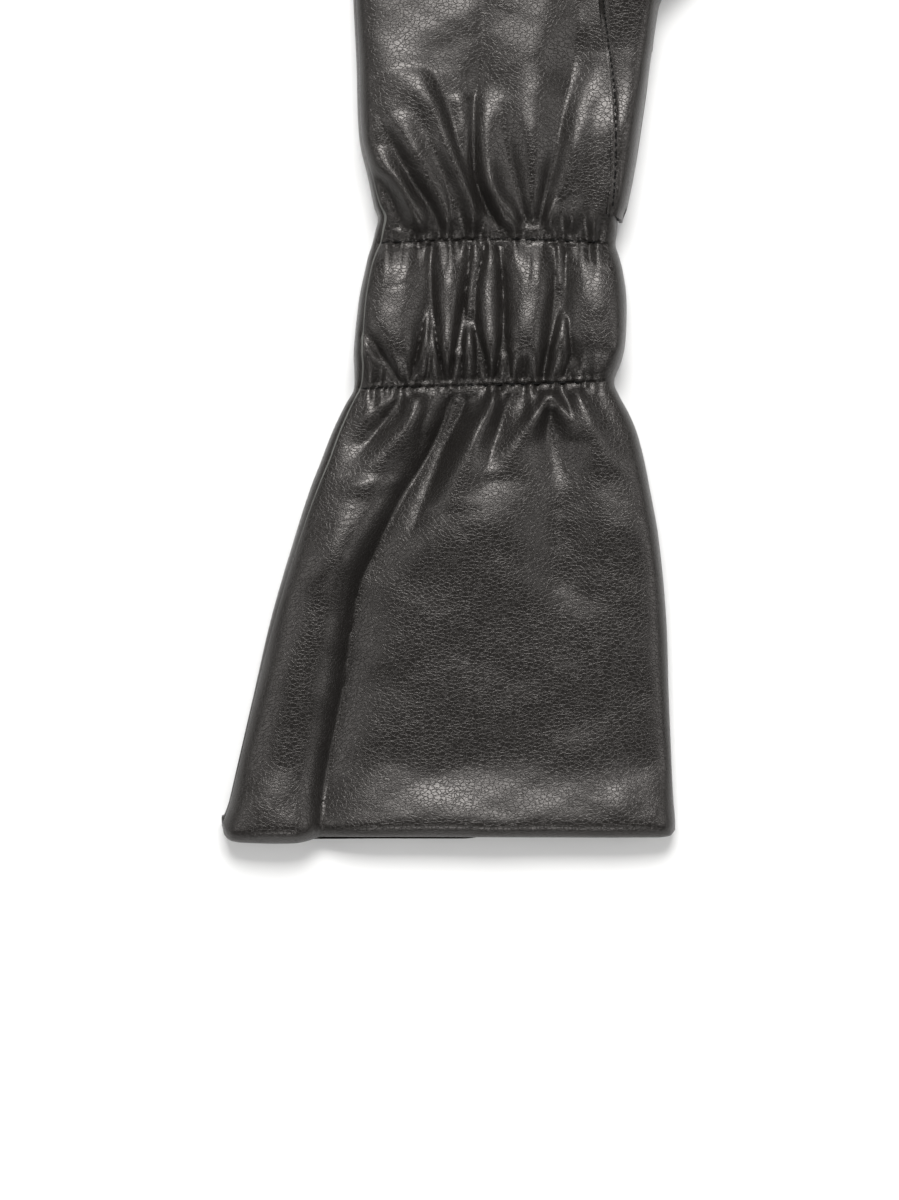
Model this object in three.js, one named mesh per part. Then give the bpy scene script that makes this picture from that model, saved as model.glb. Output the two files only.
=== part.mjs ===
// A long leather glove with a shirred wrist and a flared cuff, lying on its palm side.
// Millimetres, +Z up, fingers towards +Y, thumb towards +X. The leather is hollow to the fingertips.
// Three pieces, as a glover cuts them: the front panel (the upper side), the rear panel (the palm side,
// which comes up round the little-finger side) and the thumb, whose long tongue laps the front panel.
// Y is counted from the hem while the glove is built, and the whole is centred over the origin at the end.

import * as THREE from "three";

const LEATHER = 1.1; // wall of soft nappa with its backing
const HEM_WALL = 2.0; // the hem is turned under, so it is two leathers thick
const HEM_DEPTH = 15; // how far up the turning reaches
const HEM_STEP = 3; // the wall thins to one leather over this length
const GAP = 0.3; // air left between two pieces
const LAP = LEATHER + 0.5; // how far the lapped thumb stands proud of the front panel
const SIDE_HEIGHT = 4; // height of the fold line at the glove's sides
const FLATNESS = 8; // the same for the side that rests on the table
const PRESSED_FLAT = 1.02; // overshoot of the side that rests, cut off level by the table
const SPACING_ARC = THREE.MathUtils.degToRad(75); // columns crowd towards the sides as a sine of this arc
const SLOPE_STEP = 0.2; // to either side of a point, where a slope is measured

// The two elastic rows that draw the wrist in: the lower one climbs towards the thumb, the upper is bowed.
const LOWER_SHIRRING = { row: 131.2, tilt: 0.031, bow: 0 };
const UPPER_SHIRRING = { row: 173.4, tilt: 0, bow: -1.3 };
const SHIRRING_FADE = 36; // the rows of the cuff and the hand are straight again this far away
const SHIRRING_GROOVE = { depth: 1.0, halfWidth: 1.8 };

const FRONT_COLUMNS = 32; // a multiple of four, because each finger takes a quarter
const REAR_COLUMNS = 12;
const STRIP_COLUMNS = 2; // of the rear panel, on the strip that shows beside the front's edge
const THUMB_COLUMNS = 6;
const SIDE_COLUMNS = 3; // at each side of the front panel, crowded where the leather turns down
const SIDE_REACH = 3.5; // how far in from the side they reach

// The glove's outline seen from above, the height of its crown, the exponent of its upper curve (higher is
// flatter with tighter sides), and how far in from the left side the front panel's edge lies.
const OUTLINE = [
  { y: 0, left: -66.2, right: 65.6, crown: 11.8, flat: 8.0, inset: 0.5 },
  { y: 3, left: -66.2, right: 65.6, crown: 13.0, flat: 8.0, inset: 0.5 },
  { y: 12, left: -63.8, right: 65.0, crown: 13.6, flat: 8.0, inset: 0.5 },
  { y: 40, left: -57.3, right: 63.8, crown: 14.0, flat: 8.0, inset: 0.6 },
  { y: 64, left: -51.8, right: 63.0, crown: 14.5, flat: 8.0, inset: 1.5 },
  { y: 87, left: -45.1, right: 60.8, crown: 15.0, flat: 7.0, inset: 2.0 },
  { y: 102, left: -40.3, right: 58.1, crown: 15.4, flat: 6.5, inset: 2.6 },
  { y: 110, left: -37.3, right: 56.4, crown: 15.5, flat: 6.0, inset: 2.8 },
  { y: 117, left: -34.8, right: 54.4, crown: 15.0, flat: 5.5, inset: 2.7 },
  { y: 122, left: -32.7, right: 52.2, crown: 14.2, flat: 5.0, inset: 2.6 },
  { y: 127.5, left: -30.0, right: 49.2, crown: 12.4, flat: 5.0, inset: 2.3 },
  { y: 131.2, left: -27.9, right: 47.9, crown: 11.8, flat: 5.0, inset: 2.2 },
  { y: 137, left: -27.7, right: 49.9, crown: 14.8, flat: 5.0, inset: 2.9 },
  { y: 142, left: -27.9, right: 51.0, crown: 16.8, flat: 5.0, inset: 2.9 },
  { y: 152, left: -27.0, right: 51.5, crown: 18.0, flat: 5.0, inset: 2.5 },
  { y: 159, left: -26.1, right: 51.3, crown: 17.6, flat: 5.0, inset: 2.3 },
  { y: 166, left: -24.6, right: 50.3, crown: 16.0, flat: 5.0, inset: 2.1 },
  { y: 170, left: -23.7, right: 49.3, crown: 13.6, flat: 5.0, inset: 2.5 },
  { y: 173.4, left: -22.6, right: 48.3, crown: 11.8, flat: 5.0, inset: 2.8 },
  { y: 177, left: -21.7, right: 48.7, crown: 12.4, flat: 5.0, inset: 2.8 },
  { y: 181, left: -20.8, right: 49.1, crown: 12.8, flat: 5.0, inset: 2.6 },
  { y: 184, left: -21.9, right: 50.3, crown: 13.4, flat: 5.0, inset: 2.1 },
  { y: 191, left: -23.4, right: 51.9, crown: 14.5, flat: 5.0, inset: 1.4 },
  { y: 203, left: -26.2, right: 53.9, crown: 16.0, flat: 5.5, inset: 0.9 },
  { y: 226, left: -27.1, right: 57.1, crown: 17.0, flat: 6.0, inset: 0.9 },
  { y: 244, left: -28.0, right: 59.0, crown: 17.0, flat: 6.0, inset: 0.9 },
  { y: 266, left: -28.6, right: 57.0, crown: 15.0, flat: 5.0, inset: 0.8 },
  { y: 288, left: -29.0, right: 59.0, crown: 13.0, flat: 5.0, inset: 0.6 },
];

// Columns of the front panel that are led along the main folds, so that few of them draw a fold sharply.
const GUIDE_COLUMNS = { a: 8, b: 12, c: 16, d: 24, e: 29 };
const GUIDES = [
  { y: 0, a: -50.5, b: -38.2, c: -23.0, d: 24.0, e: 61.5 },
  { y: 15, a: -48.5, b: -37.0, c: -22.0, d: 24.5, e: 61.5 },
  { y: 44, a: -43.5, b: -31.5, c: -17.0, d: 25.0, e: 60.5 },
  { y: 72, a: -38.0, b: -27.0, c: -11.0, d: 25.5, e: 59.0 },
  { y: 84, a: -33.0, b: -21.5, c: -6.5, d: 26.0, e: 57.5 },
  { y: 98, a: -26.0, b: -14.5, c: 0.5, d: 26.5, e: 55.0 },
  { y: 110, a: -19.0, b: -7.0, c: 6.5, d: 27.0, e: 53.0 },
  { y: 120, a: -13.5, b: -1.5, c: 11.5, d: 27.6, e: 50.0 },
  { y: 131, a: -7.2, b: 6.4, c: 16.2, d: 28.2, e: 44.2 },
  { y: 152, a: -6.7, b: 7.0, c: 15.5, d: 29.6, e: 48.0 },
  { y: 173, a: -6.2, b: 7.6, c: 14.9, d: 31.0, e: 44.6 },
  { y: 181, a: -5.0, b: 5.8, c: 12.6, d: 29.0, e: 46.0 },
  { y: 191, a: -9.5, b: 2.6, c: 11.7, d: 30.5, e: 47.2 },
  { y: 203, a: -14.5, b: -1.5, c: 10.7, d: 32.2, e: 47.6 },
  { y: 226, a: -16.5, b: -5.0, c: 9.0, d: 35.6, e: 46.2 },
  { y: 245, a: -13.0, b: -3.0, c: 9.0, d: 36.6, e: 44.6 },
  { y: 264, a: -8.5, b: 2.0, c: 14.0, d: 36.8, e: 52.0 },
  { y: 288, a: -8.0, b: 3.0, c: 14.5, d: 36.8, e: 56.5 },
];

// How far the hem's front edge stands from Y = 0: round corners, the rolled pleat at the left, then the
// panel.
const HEM_EDGE = [
  { x: -66.2, lift: 3.6 },
  { x: -65.4, lift: 0.9 },
  { x: -63.4, lift: -0.8 },
  { x: -58, lift: -1.4 },
  { x: -45, lift: -1.5 },
  { x: -41, lift: -0.8 },
  { x: -37, lift: 0.3 },
  { x: 58, lift: 0.2 },
  { x: 64, lift: 0.6 },
  { x: 65.6, lift: 2.2 },
];
const HEM_EDGE_REACH = 20; // the hem's shape has faded into straight rows this far up

// The deep pleat of the cuff, from the lower shirring down to the hem: the valley's path, its depth, and
// how wide its two walls are. The roll on its left almost hangs over, and the right wall climbs slowly.
const PLEAT = [
  { y: -3, x: -38.3, depth: 7.5, leftWall: 2.8, rightWall: 5.0 },
  { y: 15, x: -37.0, depth: 8.0, leftWall: 2.8, rightWall: 5.5 },
  { y: 44, x: -31.5, depth: 8.2, leftWall: 3.0, rightWall: 6.0 },
  { y: 72, x: -27.0, depth: 8.2, leftWall: 3.2, rightWall: 6.5 },
  { y: 84, x: -21.5, depth: 8.0, leftWall: 3.2, rightWall: 6.0 },
  { y: 98, x: -14.5, depth: 7.5, leftWall: 3.0, rightWall: 5.0 },
  { y: 110, x: -7.0, depth: 6.5, leftWall: 2.8, rightWall: 4.0 },
  { y: 120, x: -1.5, depth: 5.0, leftWall: 2.6, rightWall: 3.2 },
  { y: 132, x: 6.4, depth: 2.0, leftWall: 2.2, rightWall: 2.2 },
];
const PLEAT_END = { before: 3, after: 1 }; // it dies away this close to the lower shirring

// Straight folds: they run from (x0, y0), where they start, to (x1, y1), where they have died away. A
// positive height is a ridge and a negative one a valley.
const FRONT_FOLDS = [
  { x0: -6.2, y0: 170.5, x1: -7.2, y1: 135, halfWidth: 2.6, height: -6.5, endHeight: -4.0 },
  { x0: 7.6, y0: 170.5, x1: 6.4, y1: 135, halfWidth: 2.4, height: -6.0, endHeight: -4.0 },
  { x0: 14.9, y0: 170.5, x1: 16.2, y1: 135, halfWidth: 1.9, height: -5.5, endHeight: -4.0 },
  { x0: 31.0, y0: 170.5, x1: 28.2, y1: 135, halfWidth: 2.6, height: -6.0, endHeight: -4.5 },
  { x0: 36.4, y0: 134, x1: 36.4, y1: 150, halfWidth: 2.4, height: -3.5, endHeight: 0 },
  { x0: -15.0, y0: 134, x1: -23.0, y1: 147, halfWidth: 2.6, height: -3.0, endHeight: -1.0 },
  { x0: -9.0, y0: 129, x1: -24.0, y1: 104, halfWidth: 4.0, height: 2.5, endHeight: 1.0 },
  { x0: -24.0, y0: 104, x1: -45.0, y1: 44, halfWidth: 7.0, height: 2.0, endHeight: 2.5 },
  { x0: -45.0, y0: 44, x1: -50.0, y1: 0, halfWidth: 8.0, height: 2.5, endHeight: 1.0 },
  { x0: 13.5, y0: 131, x1: -5.0, y1: 96, halfWidth: 4.0, height: 3.0, endHeight: 0 },
  { x0: 8.5, y0: 131, x1: 0.5, y1: 112, halfWidth: 3.0, height: -4.0, endHeight: 0 },
  { x0: 29.5, y0: 130, x1: 24.0, y1: 116, halfWidth: 2.6, height: 2.5, endHeight: 0 },
  { x0: 30.0, y0: 130, x1: 36.0, y1: 114, halfWidth: 2.6, height: 2.5, endHeight: 0 },
  { x0: 36.0, y0: 131, x1: 44.0, y1: 112, halfWidth: 3.0, height: 2.5, endHeight: 0 },
  { x0: -7.5, y0: 175, x1: -24.0, y1: 196, halfWidth: 3.2, height: 3.2, endHeight: 2.0 },
  { x0: -3.5, y0: 180, x1: -22.0, y1: 212, halfWidth: 3.4, height: -4.2, endHeight: 0 },
  { x0: 7.5, y0: 175, x1: -7.0, y1: 220, halfWidth: 3.2, height: 3.4, endHeight: 0 },
  { x0: 12.8, y0: 178, x1: 7.4, y1: 246, halfWidth: 3.2, height: -4.5, endHeight: -1.0 },
  { x0: 18.0, y0: 175, x1: 10.6, y1: 205, halfWidth: 3.0, height: 3.2, endHeight: 0 },
  { x0: 24.0, y0: 180, x1: 23.0, y1: 214, halfWidth: 4.5, height: 2.2, endHeight: 0 },
  { x0: 28.8, y0: 180, x1: 37.0, y1: 236, halfWidth: 4.0, height: -4.0, endHeight: -0.5 },
  { x0: 36.0, y0: 175, x1: 37.0, y1: 200, halfWidth: 2.6, height: 2.6, endHeight: 0 },
];
const REAR_FOLDS = [
  { x0: -8.0, y0: 172, x1: -8.0, y1: 133, halfWidth: 3.0, height: 2.1, endHeight: 2.1 },
  { x0: 6.0, y0: 172, x1: 7.0, y1: 133, halfWidth: 3.0, height: 2.3, endHeight: 2.3 },
  { x0: 20.0, y0: 172, x1: 19.0, y1: 133, halfWidth: 3.0, height: 2.3, endHeight: 2.3 },
  { x0: 34.0, y0: 172, x1: 33.0, y1: 133, halfWidth: 3.0, height: 2.1, endHeight: 2.1 },
  { x0: 4.0, y0: 129, x1: -8.0, y1: 96, halfWidth: 4.0, height: 2.6, endHeight: 0 },
  { x0: 28.0, y0: 129, x1: 33.0, y1: 100, halfWidth: 4.0, height: 2.4, endHeight: 0 },
  { x0: 4.0, y0: 176, x1: -4.0, y1: 205, halfWidth: 3.6, height: 2.6, endHeight: 0 },
  { x0: 26.0, y0: 176, x1: 30.0, y1: 208, halfWidth: 3.6, height: 2.4, endHeight: 0 },
];

// The palm side is drawn up off the table at each elastic row.
const SHIRRED_LIFT = { height: 1.0, halfWidth: 5 };

// Fingers, from the little finger: where each one springs from the knuckle line, and its free length.
const FINGERS = [
  { left: -29.0, right: -8.0, length: 59, lean: -7.5, width: 18.5, tipWidth: 15.5, crown: 11.0 },
  { left: -8.0, right: 14.5, length: 73, lean: -3.0, width: 20.5, tipWidth: 16.5, crown: 11.5 },
  { left: 14.5, right: 36.8, length: 79, lean: 0.5, width: 21.0, tipWidth: 17.0, crown: 12.0 },
  { left: 36.8, right: 59.0, length: 72, lean: 4.0, width: 20.5, tipWidth: 16.5, crown: 12.0 },
];
const KNUCKLE_LINE = [
  { x: -29, y: 278 },
  { x: -8, y: 284 },
  { x: 14.5, y: 291 },
  { x: 36.8, y: 292 },
  { x: 59, y: 285 },
];
const KNUCKLE_ROW = 288; // the row of the grid that becomes the knuckle line
const WEB_START = 260; // from here the palm's one arch turns into four
const FINGER_ROOT_REACH = 14; // the finger's rows are square to its length from here on
const FINGER_ROWS = [0.06, 0.14, 0.3, 0.5, 0.7, 0.84, 0.93, 0.98, 1]; // shares of the finger's length
const TIP_ROUND = 11; // length of a finger's round end
const TIP_END_WIDTH = 5; // the flat that the round end is stopped at
const FINGER_ROUNDNESS = { upper: 2.5, under: 3 }; // exponents of the two halves of a finger's section
const TIP_FALL = 3; // exponent of the way its height falls towards the end

// The thumb, row by row from the end of its tongue to its tip: the ends of each row seen from above, the
// crown's height, and how far the row has left the hand's own surface.
const THUMB = [
  { leftX: 45.0, leftY: 180.4, rightX: 50.7, rightY: 178.6, crown: 14.0, free: 0 },
  { leftX: 46.0, leftY: 187.0, rightX: 52.6, rightY: 186.0, crown: 14.0, free: 0 },
  { leftX: 46.5, leftY: 198.0, rightX: 54.8, rightY: 197.0, crown: 15.0, free: 0 },
  { leftX: 46.6, leftY: 209.0, rightX: 56.0, rightY: 208.0, crown: 16.0, free: 0 },
  { leftX: 46.0, leftY: 219.0, rightX: 57.6, rightY: 218.0, crown: 17.0, free: 0 },
  { leftX: 44.8, leftY: 228.6, rightX: 59.2, rightY: 228.6, crown: 18.0, free: 0.25 },
  { leftX: 43.5, leftY: 238.5, rightX: 60.2, rightY: 237.0, crown: 18.5, free: 0.7 },
  { leftX: 43.2, leftY: 246.4, rightX: 61.8, rightY: 243.6, crown: 19.0, free: 1 },
  { leftX: 45.2, leftY: 252.8, rightX: 66.6, rightY: 248.8, crown: 19.0, free: 1 },
  { leftX: 49.0, leftY: 257.8, rightX: 72.0, rightY: 253.8, crown: 18.5, free: 1 },
  { leftX: 53.6, leftY: 261.8, rightX: 77.4, rightY: 258.8, crown: 18.0, free: 1 },
  { leftX: 58.9, leftY: 265.2, rightX: 82.0, rightY: 264.2, crown: 17.5, free: 1 },
  { leftX: 61.8, leftY: 271.0, rightX: 85.6, rightY: 270.2, crown: 16.5, free: 1 },
  { leftX: 65.6, leftY: 280.4, rightX: 89.6, rightY: 278.2, crown: 15.5, free: 1 },
  { leftX: 69.6, leftY: 290.0, rightX: 92.8, rightY: 286.6, crown: 14.5, free: 1 },
  { leftX: 73.8, leftY: 299.4, rightX: 95.2, rightY: 295.4, crown: 13.5, free: 1 },
  { leftX: 78.2, leftY: 307.6, rightX: 96.2, rightY: 303.6, crown: 12.0, free: 1 },
  { leftX: 82.2, leftY: 312.8, rightX: 95.2, rightY: 309.8, crown: 10.0, free: 1 },
  { leftX: 86.4, leftY: 315.8, rightX: 92.8, rightY: 314.4, crown: 6.5, free: 1 },
  { leftX: 88.2, leftY: 316.6, rightX: 91.7, rightY: 315.7, crown: 4, free: 1 },
];
const THUMB_UNDER_ROW = 5; // the first thumb row that also closes the palm side
const THUMB_TUBE_ROW = 11; // the first row whose two edges meet in a closed tube, at the crotch
const THUMB_ROUNDNESS = 3; // exponent of the thumb's own sections
const THUMB_LEAN = THREE.MathUtils.degToRad(24);

// The opening in the side of both panels for the thumb, how far the front panel runs on under the thumb's
// lapped edge, and how far the rear panel stops short of it.
const THUMB_HOLE = { from: 227.6, to: 265.3, lap: 3, seam: 0.9 };

// The grid's rows. Those beside the thumb's opening are the thumb's own, so that the edges keep apart.
const CUFF_ROWS = [0, 0.8, 3, 10, 20, 32, 45, 58, 71, 83, 93, 102, 110, 117, 123, 127.5];
const WRIST_ROWS = [129.4, 131.2, 133, 137, 142, 147.5, 153, 158.5, 163.5, 168, 171.6, 173.4, 175.4];
const CORNER_ROW = 0.4; // the opening's lower corner turns within this
const HAND_ROWS = [180, 186, 193, 201, 209, 218, THUMB_HOLE.from, THUMB_HOLE.from + CORNER_ROW];
const THUMB_SIDE_ROWS = THUMB.slice(THUMB_UNDER_ROW + 1, THUMB_TUBE_ROW + 1).map((row) => row.leftY);
const KNUCKLE_ROWS = [275, 281.5, KNUCKLE_ROW];
const BODY_ROWS = [...CUFF_ROWS, ...WRIST_ROWS, ...HAND_ROWS, ...THUMB_SIDE_ROWS, ...KNUCKLE_ROWS];

const { lerp, clamp, smoothstep, degToRad } = THREE.MathUtils;

// The value of a column at a place along a table, as a smooth curve through its rows.
function along(rows, column, at, axis = "y") {
  const last = rows.length - 1;
  const place = clamp(at, rows[0][axis], rows[last][axis]);
  let i = 0;
  while (i < last - 1 && rows[i + 1][axis] < place) i += 1;
  const slopeAt = (k) => {
    const before = rows[Math.max(k - 1, 0)];
    const after = rows[Math.min(k + 1, last)];
    return (after[column] - before[column]) / (after[axis] - before[axis]);
  };
  const span = rows[i + 1][axis] - rows[i][axis];
  const t = (place - rows[i][axis]) / span;
  const bend = t * (1 - t) * span;
  const straight = lerp(rows[i][column], rows[i + 1][column], t);
  const chord = (rows[i + 1][column] - rows[i][column]) / span;
  return straight + bend * ((slopeAt(i) - chord) * (1 - t) - (slopeAt(i + 1) - chord) * t);
}

// Half of the glove's width and the middle of it, at a height Y above the hem.
function spanAt(y) {
  const left = along(OUTLINE, "left", y);
  const right = along(OUTLINE, "right", y);
  return { middle: (left + right) / 2, half: (right - left) / 2 };
}

// The rise of one fold at a point: a rounded ridge across it, changing evenly from its start to its end.
function foldRise(fold, x, y) {
  const runX = fold.x1 - fold.x0;
  const runY = fold.y1 - fold.y0;
  const length = Math.hypot(runX, runY);
  const along01 = ((x - fold.x0) * runX + (y - fold.y0) * runY) / length ** 2;
  const across = ((x - fold.x0) * runY - (y - fold.y0) * runX) / length / fold.halfWidth;
  const reach = fold.halfWidth / length;
  const ends = smoothstep(along01, -reach, reach) * (1 - smoothstep(along01, 1 - reach, 1 + reach));
  return lerp(fold.height, fold.endHeight, clamp(along01, 0, 1)) * ends * Math.exp(-(across ** 2));
}

function pleatRise(x, y) {
  const end = PLEAT[PLEAT.length - 1].y;
  const across = x - along(PLEAT, "x", y);
  const wall = along(PLEAT, across < 0 ? "leftWall" : "rightWall", y);
  const share = 1 - smoothstep(y, end - PLEAT_END.before, end + PLEAT_END.after);
  return -along(PLEAT, "depth", y) * Math.exp(-((across / wall) ** 2)) * share;
}

// A bell over each of the two elastic rows.
function overShirring(row, halfWidth) {
  const bell = (line) => Math.exp(-(((row - line.row) / halfWidth) ** 2));
  return bell(LOWER_SHIRRING) + bell(UPPER_SHIRRING);
}

// How far the elastic rows bend the rows near them away from straight.
function shirringBend(x, row) {
  const { middle, half } = spanAt(row);
  const bend = (line) => line.tilt * (x - middle) + line.bow * ((x - middle) / half) ** 2;
  const upper = smoothstep(row, LOWER_SHIRRING.row, UPPER_SHIRRING.row);
  const fadeIn = smoothstep(row, LOWER_SHIRRING.row - SHIRRING_FADE, LOWER_SHIRRING.row);
  const fadeOut = 1 - smoothstep(row, UPPER_SHIRRING.row, UPPER_SHIRRING.row + SHIRRING_FADE);
  return lerp(bend(LOWER_SHIRRING), bend(UPPER_SHIRRING), upper) * fadeIn * fadeOut;
}

// The arch of a cross-section: 1 in the middle, 0 at both sides, with upright sides.
function arch(across, exponent) {
  return Math.sqrt(Math.max(0, 1 - Math.abs(across) ** exponent));
}

// The same for a side that rests, which the table makes level in the middle.
const pressed = (across, exponent) => Math.min(1, PRESSED_FLAT * arch(across, exponent));

function fingerAcross(x) {
  const finger = FINGERS.find((f) => x <= f.right) ?? FINGERS[FINGERS.length - 1];
  return { finger, across: (2 * x - finger.left - finger.right) / (finger.right - finger.left) };
}

// How much of the way from one palm to four fingers a row has come.
function webShare(y) {
  return smoothstep(y, WEB_START, KNUCKLE_ROW);
}

// Height of the glove's upper and under surface over a point.
function topHeight(x, y) {
  const { middle, half } = spanAt(y);
  const across = clamp((x - middle) / half, -1, 1);
  const folds = FRONT_FOLDS.reduce((sum, fold) => sum + foldRise(fold, x, y), pleatRise(x, y));
  const groove = SHIRRING_GROOVE.depth * overShirring(y, SHIRRING_GROOVE.halfWidth);
  const side = 1 - Math.abs(across) ** FLATNESS;
  const roundness = along(OUTLINE, "flat", y);
  const rise = (along(OUTLINE, "crown", y) - SIDE_HEIGHT) * arch(across, roundness);
  const palm = rise + (folds - groove) * side;
  const over = fingerAcross(x);
  const fingers = (over.finger.crown - SIDE_HEIGHT) * arch(over.across, FINGER_ROUNDNESS.upper);
  return SIDE_HEIGHT + lerp(Math.max(palm, 0), fingers, webShare(y));
}

function underHeight(x, y) {
  const { middle, half } = spanAt(y);
  const across = clamp((x - middle) / half, -1, 1);
  const folds = REAR_FOLDS.reduce((sum, fold) => sum + foldRise(fold, x, y), 0);
  const lift = SHIRRED_LIFT.height * overShirring(y, SHIRRED_LIFT.halfWidth);
  const palm = (SIDE_HEIGHT - folds - lift) * pressed(across, FLATNESS);
  const fingers = SIDE_HEIGHT * pressed(fingerAcross(x).across, FINGER_ROUNDNESS.under);
  return SIDE_HEIGHT - lerp(palm, fingers, webShare(y));
}

// Where the row that is nominally at Y really lies: bent to the hem at one end, the knuckles at the other.
function rowY(x, row) {
  const hem = along(HEM_EDGE, "lift", x, "x") * (1 - smoothstep(row, 0, HEM_EDGE_REACH));
  const knuckle = (along(KNUCKLE_LINE, "y", x, "x") - KNUCKLE_ROW) * webShare(row);
  return row + hem + knuckle + shirringBend(x, row);
}

// Columns stand closer together towards the sides, where the leather turns down. Across is from -1 to 1.
const spread = (place) => Math.sin(place * SPACING_ARC) / Math.sin(SPACING_ARC);
const placeOf = (across) => Math.asin(clamp(across, -1, 1) * Math.sin(SPACING_ARC)) / SPACING_ARC;

// X of a column of the front panel where it crosses a row, between the panel's two edges.
function frontX(row, column, from, to) {
  const stops = [{ column: 0, x: from }, { column: SIDE_COLUMNS, x: from + SIDE_REACH }];
  for (const [guide, at] of Object.entries(GUIDE_COLUMNS)) {
    stops.push({ column: at, x: along(GUIDES, guide, row) });
  }
  stops.push({ column: FRONT_COLUMNS, x: to });
  const i = stops.findIndex((stop, k) => column < stop.column || k === stops.length - 1) - 1;
  const share = (column - stops[i].column) / (stops[i + 1].column - stops[i].column);
  if (i === 0) return lerp(stops[0].x, stops[1].x, share ** 2);
  if (i === stops.length - 2) return lerp(stops[i].x, stops[i + 1].x, 1 - (1 - share) ** 2);
  return lerp(stops[i].x, stops[i + 1].x, share);
}

function fingerX(column, columns) {
  const perFinger = columns / FINGERS.length;
  const index = Math.min(Math.floor(column / perFinger), FINGERS.length - 1);
  const { left, right } = FINGERS[index];
  return (left + right) / 2 + ((right - left) / 2) * spread((2 * column) / perFinger - 2 * index - 1);
}

// An open surface, gathered point by point, that is made into a wall by adding its inner side and its rims.
class Leather {
  points = [];
  seams = new Map(); // the direction through the wall at points on a seam
  faces = [];

  add(point, seamNormal) {
    this.points.push(point);
    if (seamNormal) this.seams.set(this.points.length - 1, seamNormal);
    return this.points.length - 1;
  }

  // Faces between two rows of the same number of points.
  join(rowA, rowB) {
    for (let i = 0; i + 1 < rowA.length; i += 1) {
      this.faces.push([rowA[i], rowA[i + 1], rowB[i + 1], rowB[i]]);
    }
  }

  normals() {
    const sums = this.points.map(() => new THREE.Vector3());
    const [diagonalA, diagonalB] = [new THREE.Vector3(), new THREE.Vector3()];
    for (const [a, b, c, d] of this.faces) {
      diagonalA.subVectors(this.points[c], this.points[a]);
      diagonalB.subVectors(this.points[d], this.points[b]);
      diagonalA.cross(diagonalB).normalize();
      for (const corner of [a, b, c, d]) sums[corner].add(diagonalA);
    }
    return sums.map((sum, i) => (this.seams.get(i) ?? sum).clone().normalize());
  }

  thicken(wallAt) {
    const count = this.points.length;
    const normals = this.normals();
    const inner = this.points.map((p, i) => p.clone().addScaledVector(normals[i], -wallAt(p)));
    const positions = [...this.points, ...inner].flatMap((p) => [p.x, p.y, p.z]);
    const index = [];
    const quad = (a, b, c, d) => index.push(a, b, c, a, c, d);
    const edges = new Map();
    for (const face of this.faces) {
      quad(...face);
      quad(...face.map((corner) => corner + count).reverse());
      face.forEach((from, i) => {
        const to = face[(i + 1) % face.length];
        if (!edges.delete(`${to},${from}`)) edges.set(`${from},${to}`, [from, to]);
      });
    }
    for (const [from, to] of edges.values()) quad(to, from, from + count, to + count);
    const geometry = new THREE.BufferGeometry();
    geometry.setAttribute("position", new THREE.Float32BufferAttribute(positions, 3));
    geometry.setIndex(index);
    geometry.computeVertexNormals();
    return geometry;
  }
}

const wallAt = (p) => lerp(HEM_WALL, LEATHER, smoothstep(p.y, HEM_DEPTH - HEM_STEP, HEM_DEPTH));
const sideways = (sign) => new THREE.Vector3(sign, 0, 0);
const DOWN = new THREE.Vector3(0, 0, -1);

// Height of the upper surface at a point on the plan, from the row that passes through it.
const rowThrough = (x, y) => 2 * y - rowY(x, y);
const topAt = (x, y) => topHeight(x, rowThrough(x, y)) + GAP / 2;
const underAt = (x, y) => underHeight(x, rowThrough(x, y)) - GAP / 2;

// The direction square to the upper surface at a point, for two edges that face each other across a seam.
function topNormal(x, y) {
  const slope = (topHeight(x + SLOPE_STEP, y) - topHeight(x - SLOPE_STEP, y)) / (2 * SLOPE_STEP);
  return new THREE.Vector3(-slope, 0, 1).normalize();
}

// X of a panel's edge beside the thumb's opening, or null where the panel runs to its side.
function holeEdge(row) {
  if (row <= THUMB_HOLE.from || row >= THUMB_HOLE.to) return null;
  return along(THUMB, "leftX", row, "leftY");
}

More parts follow.
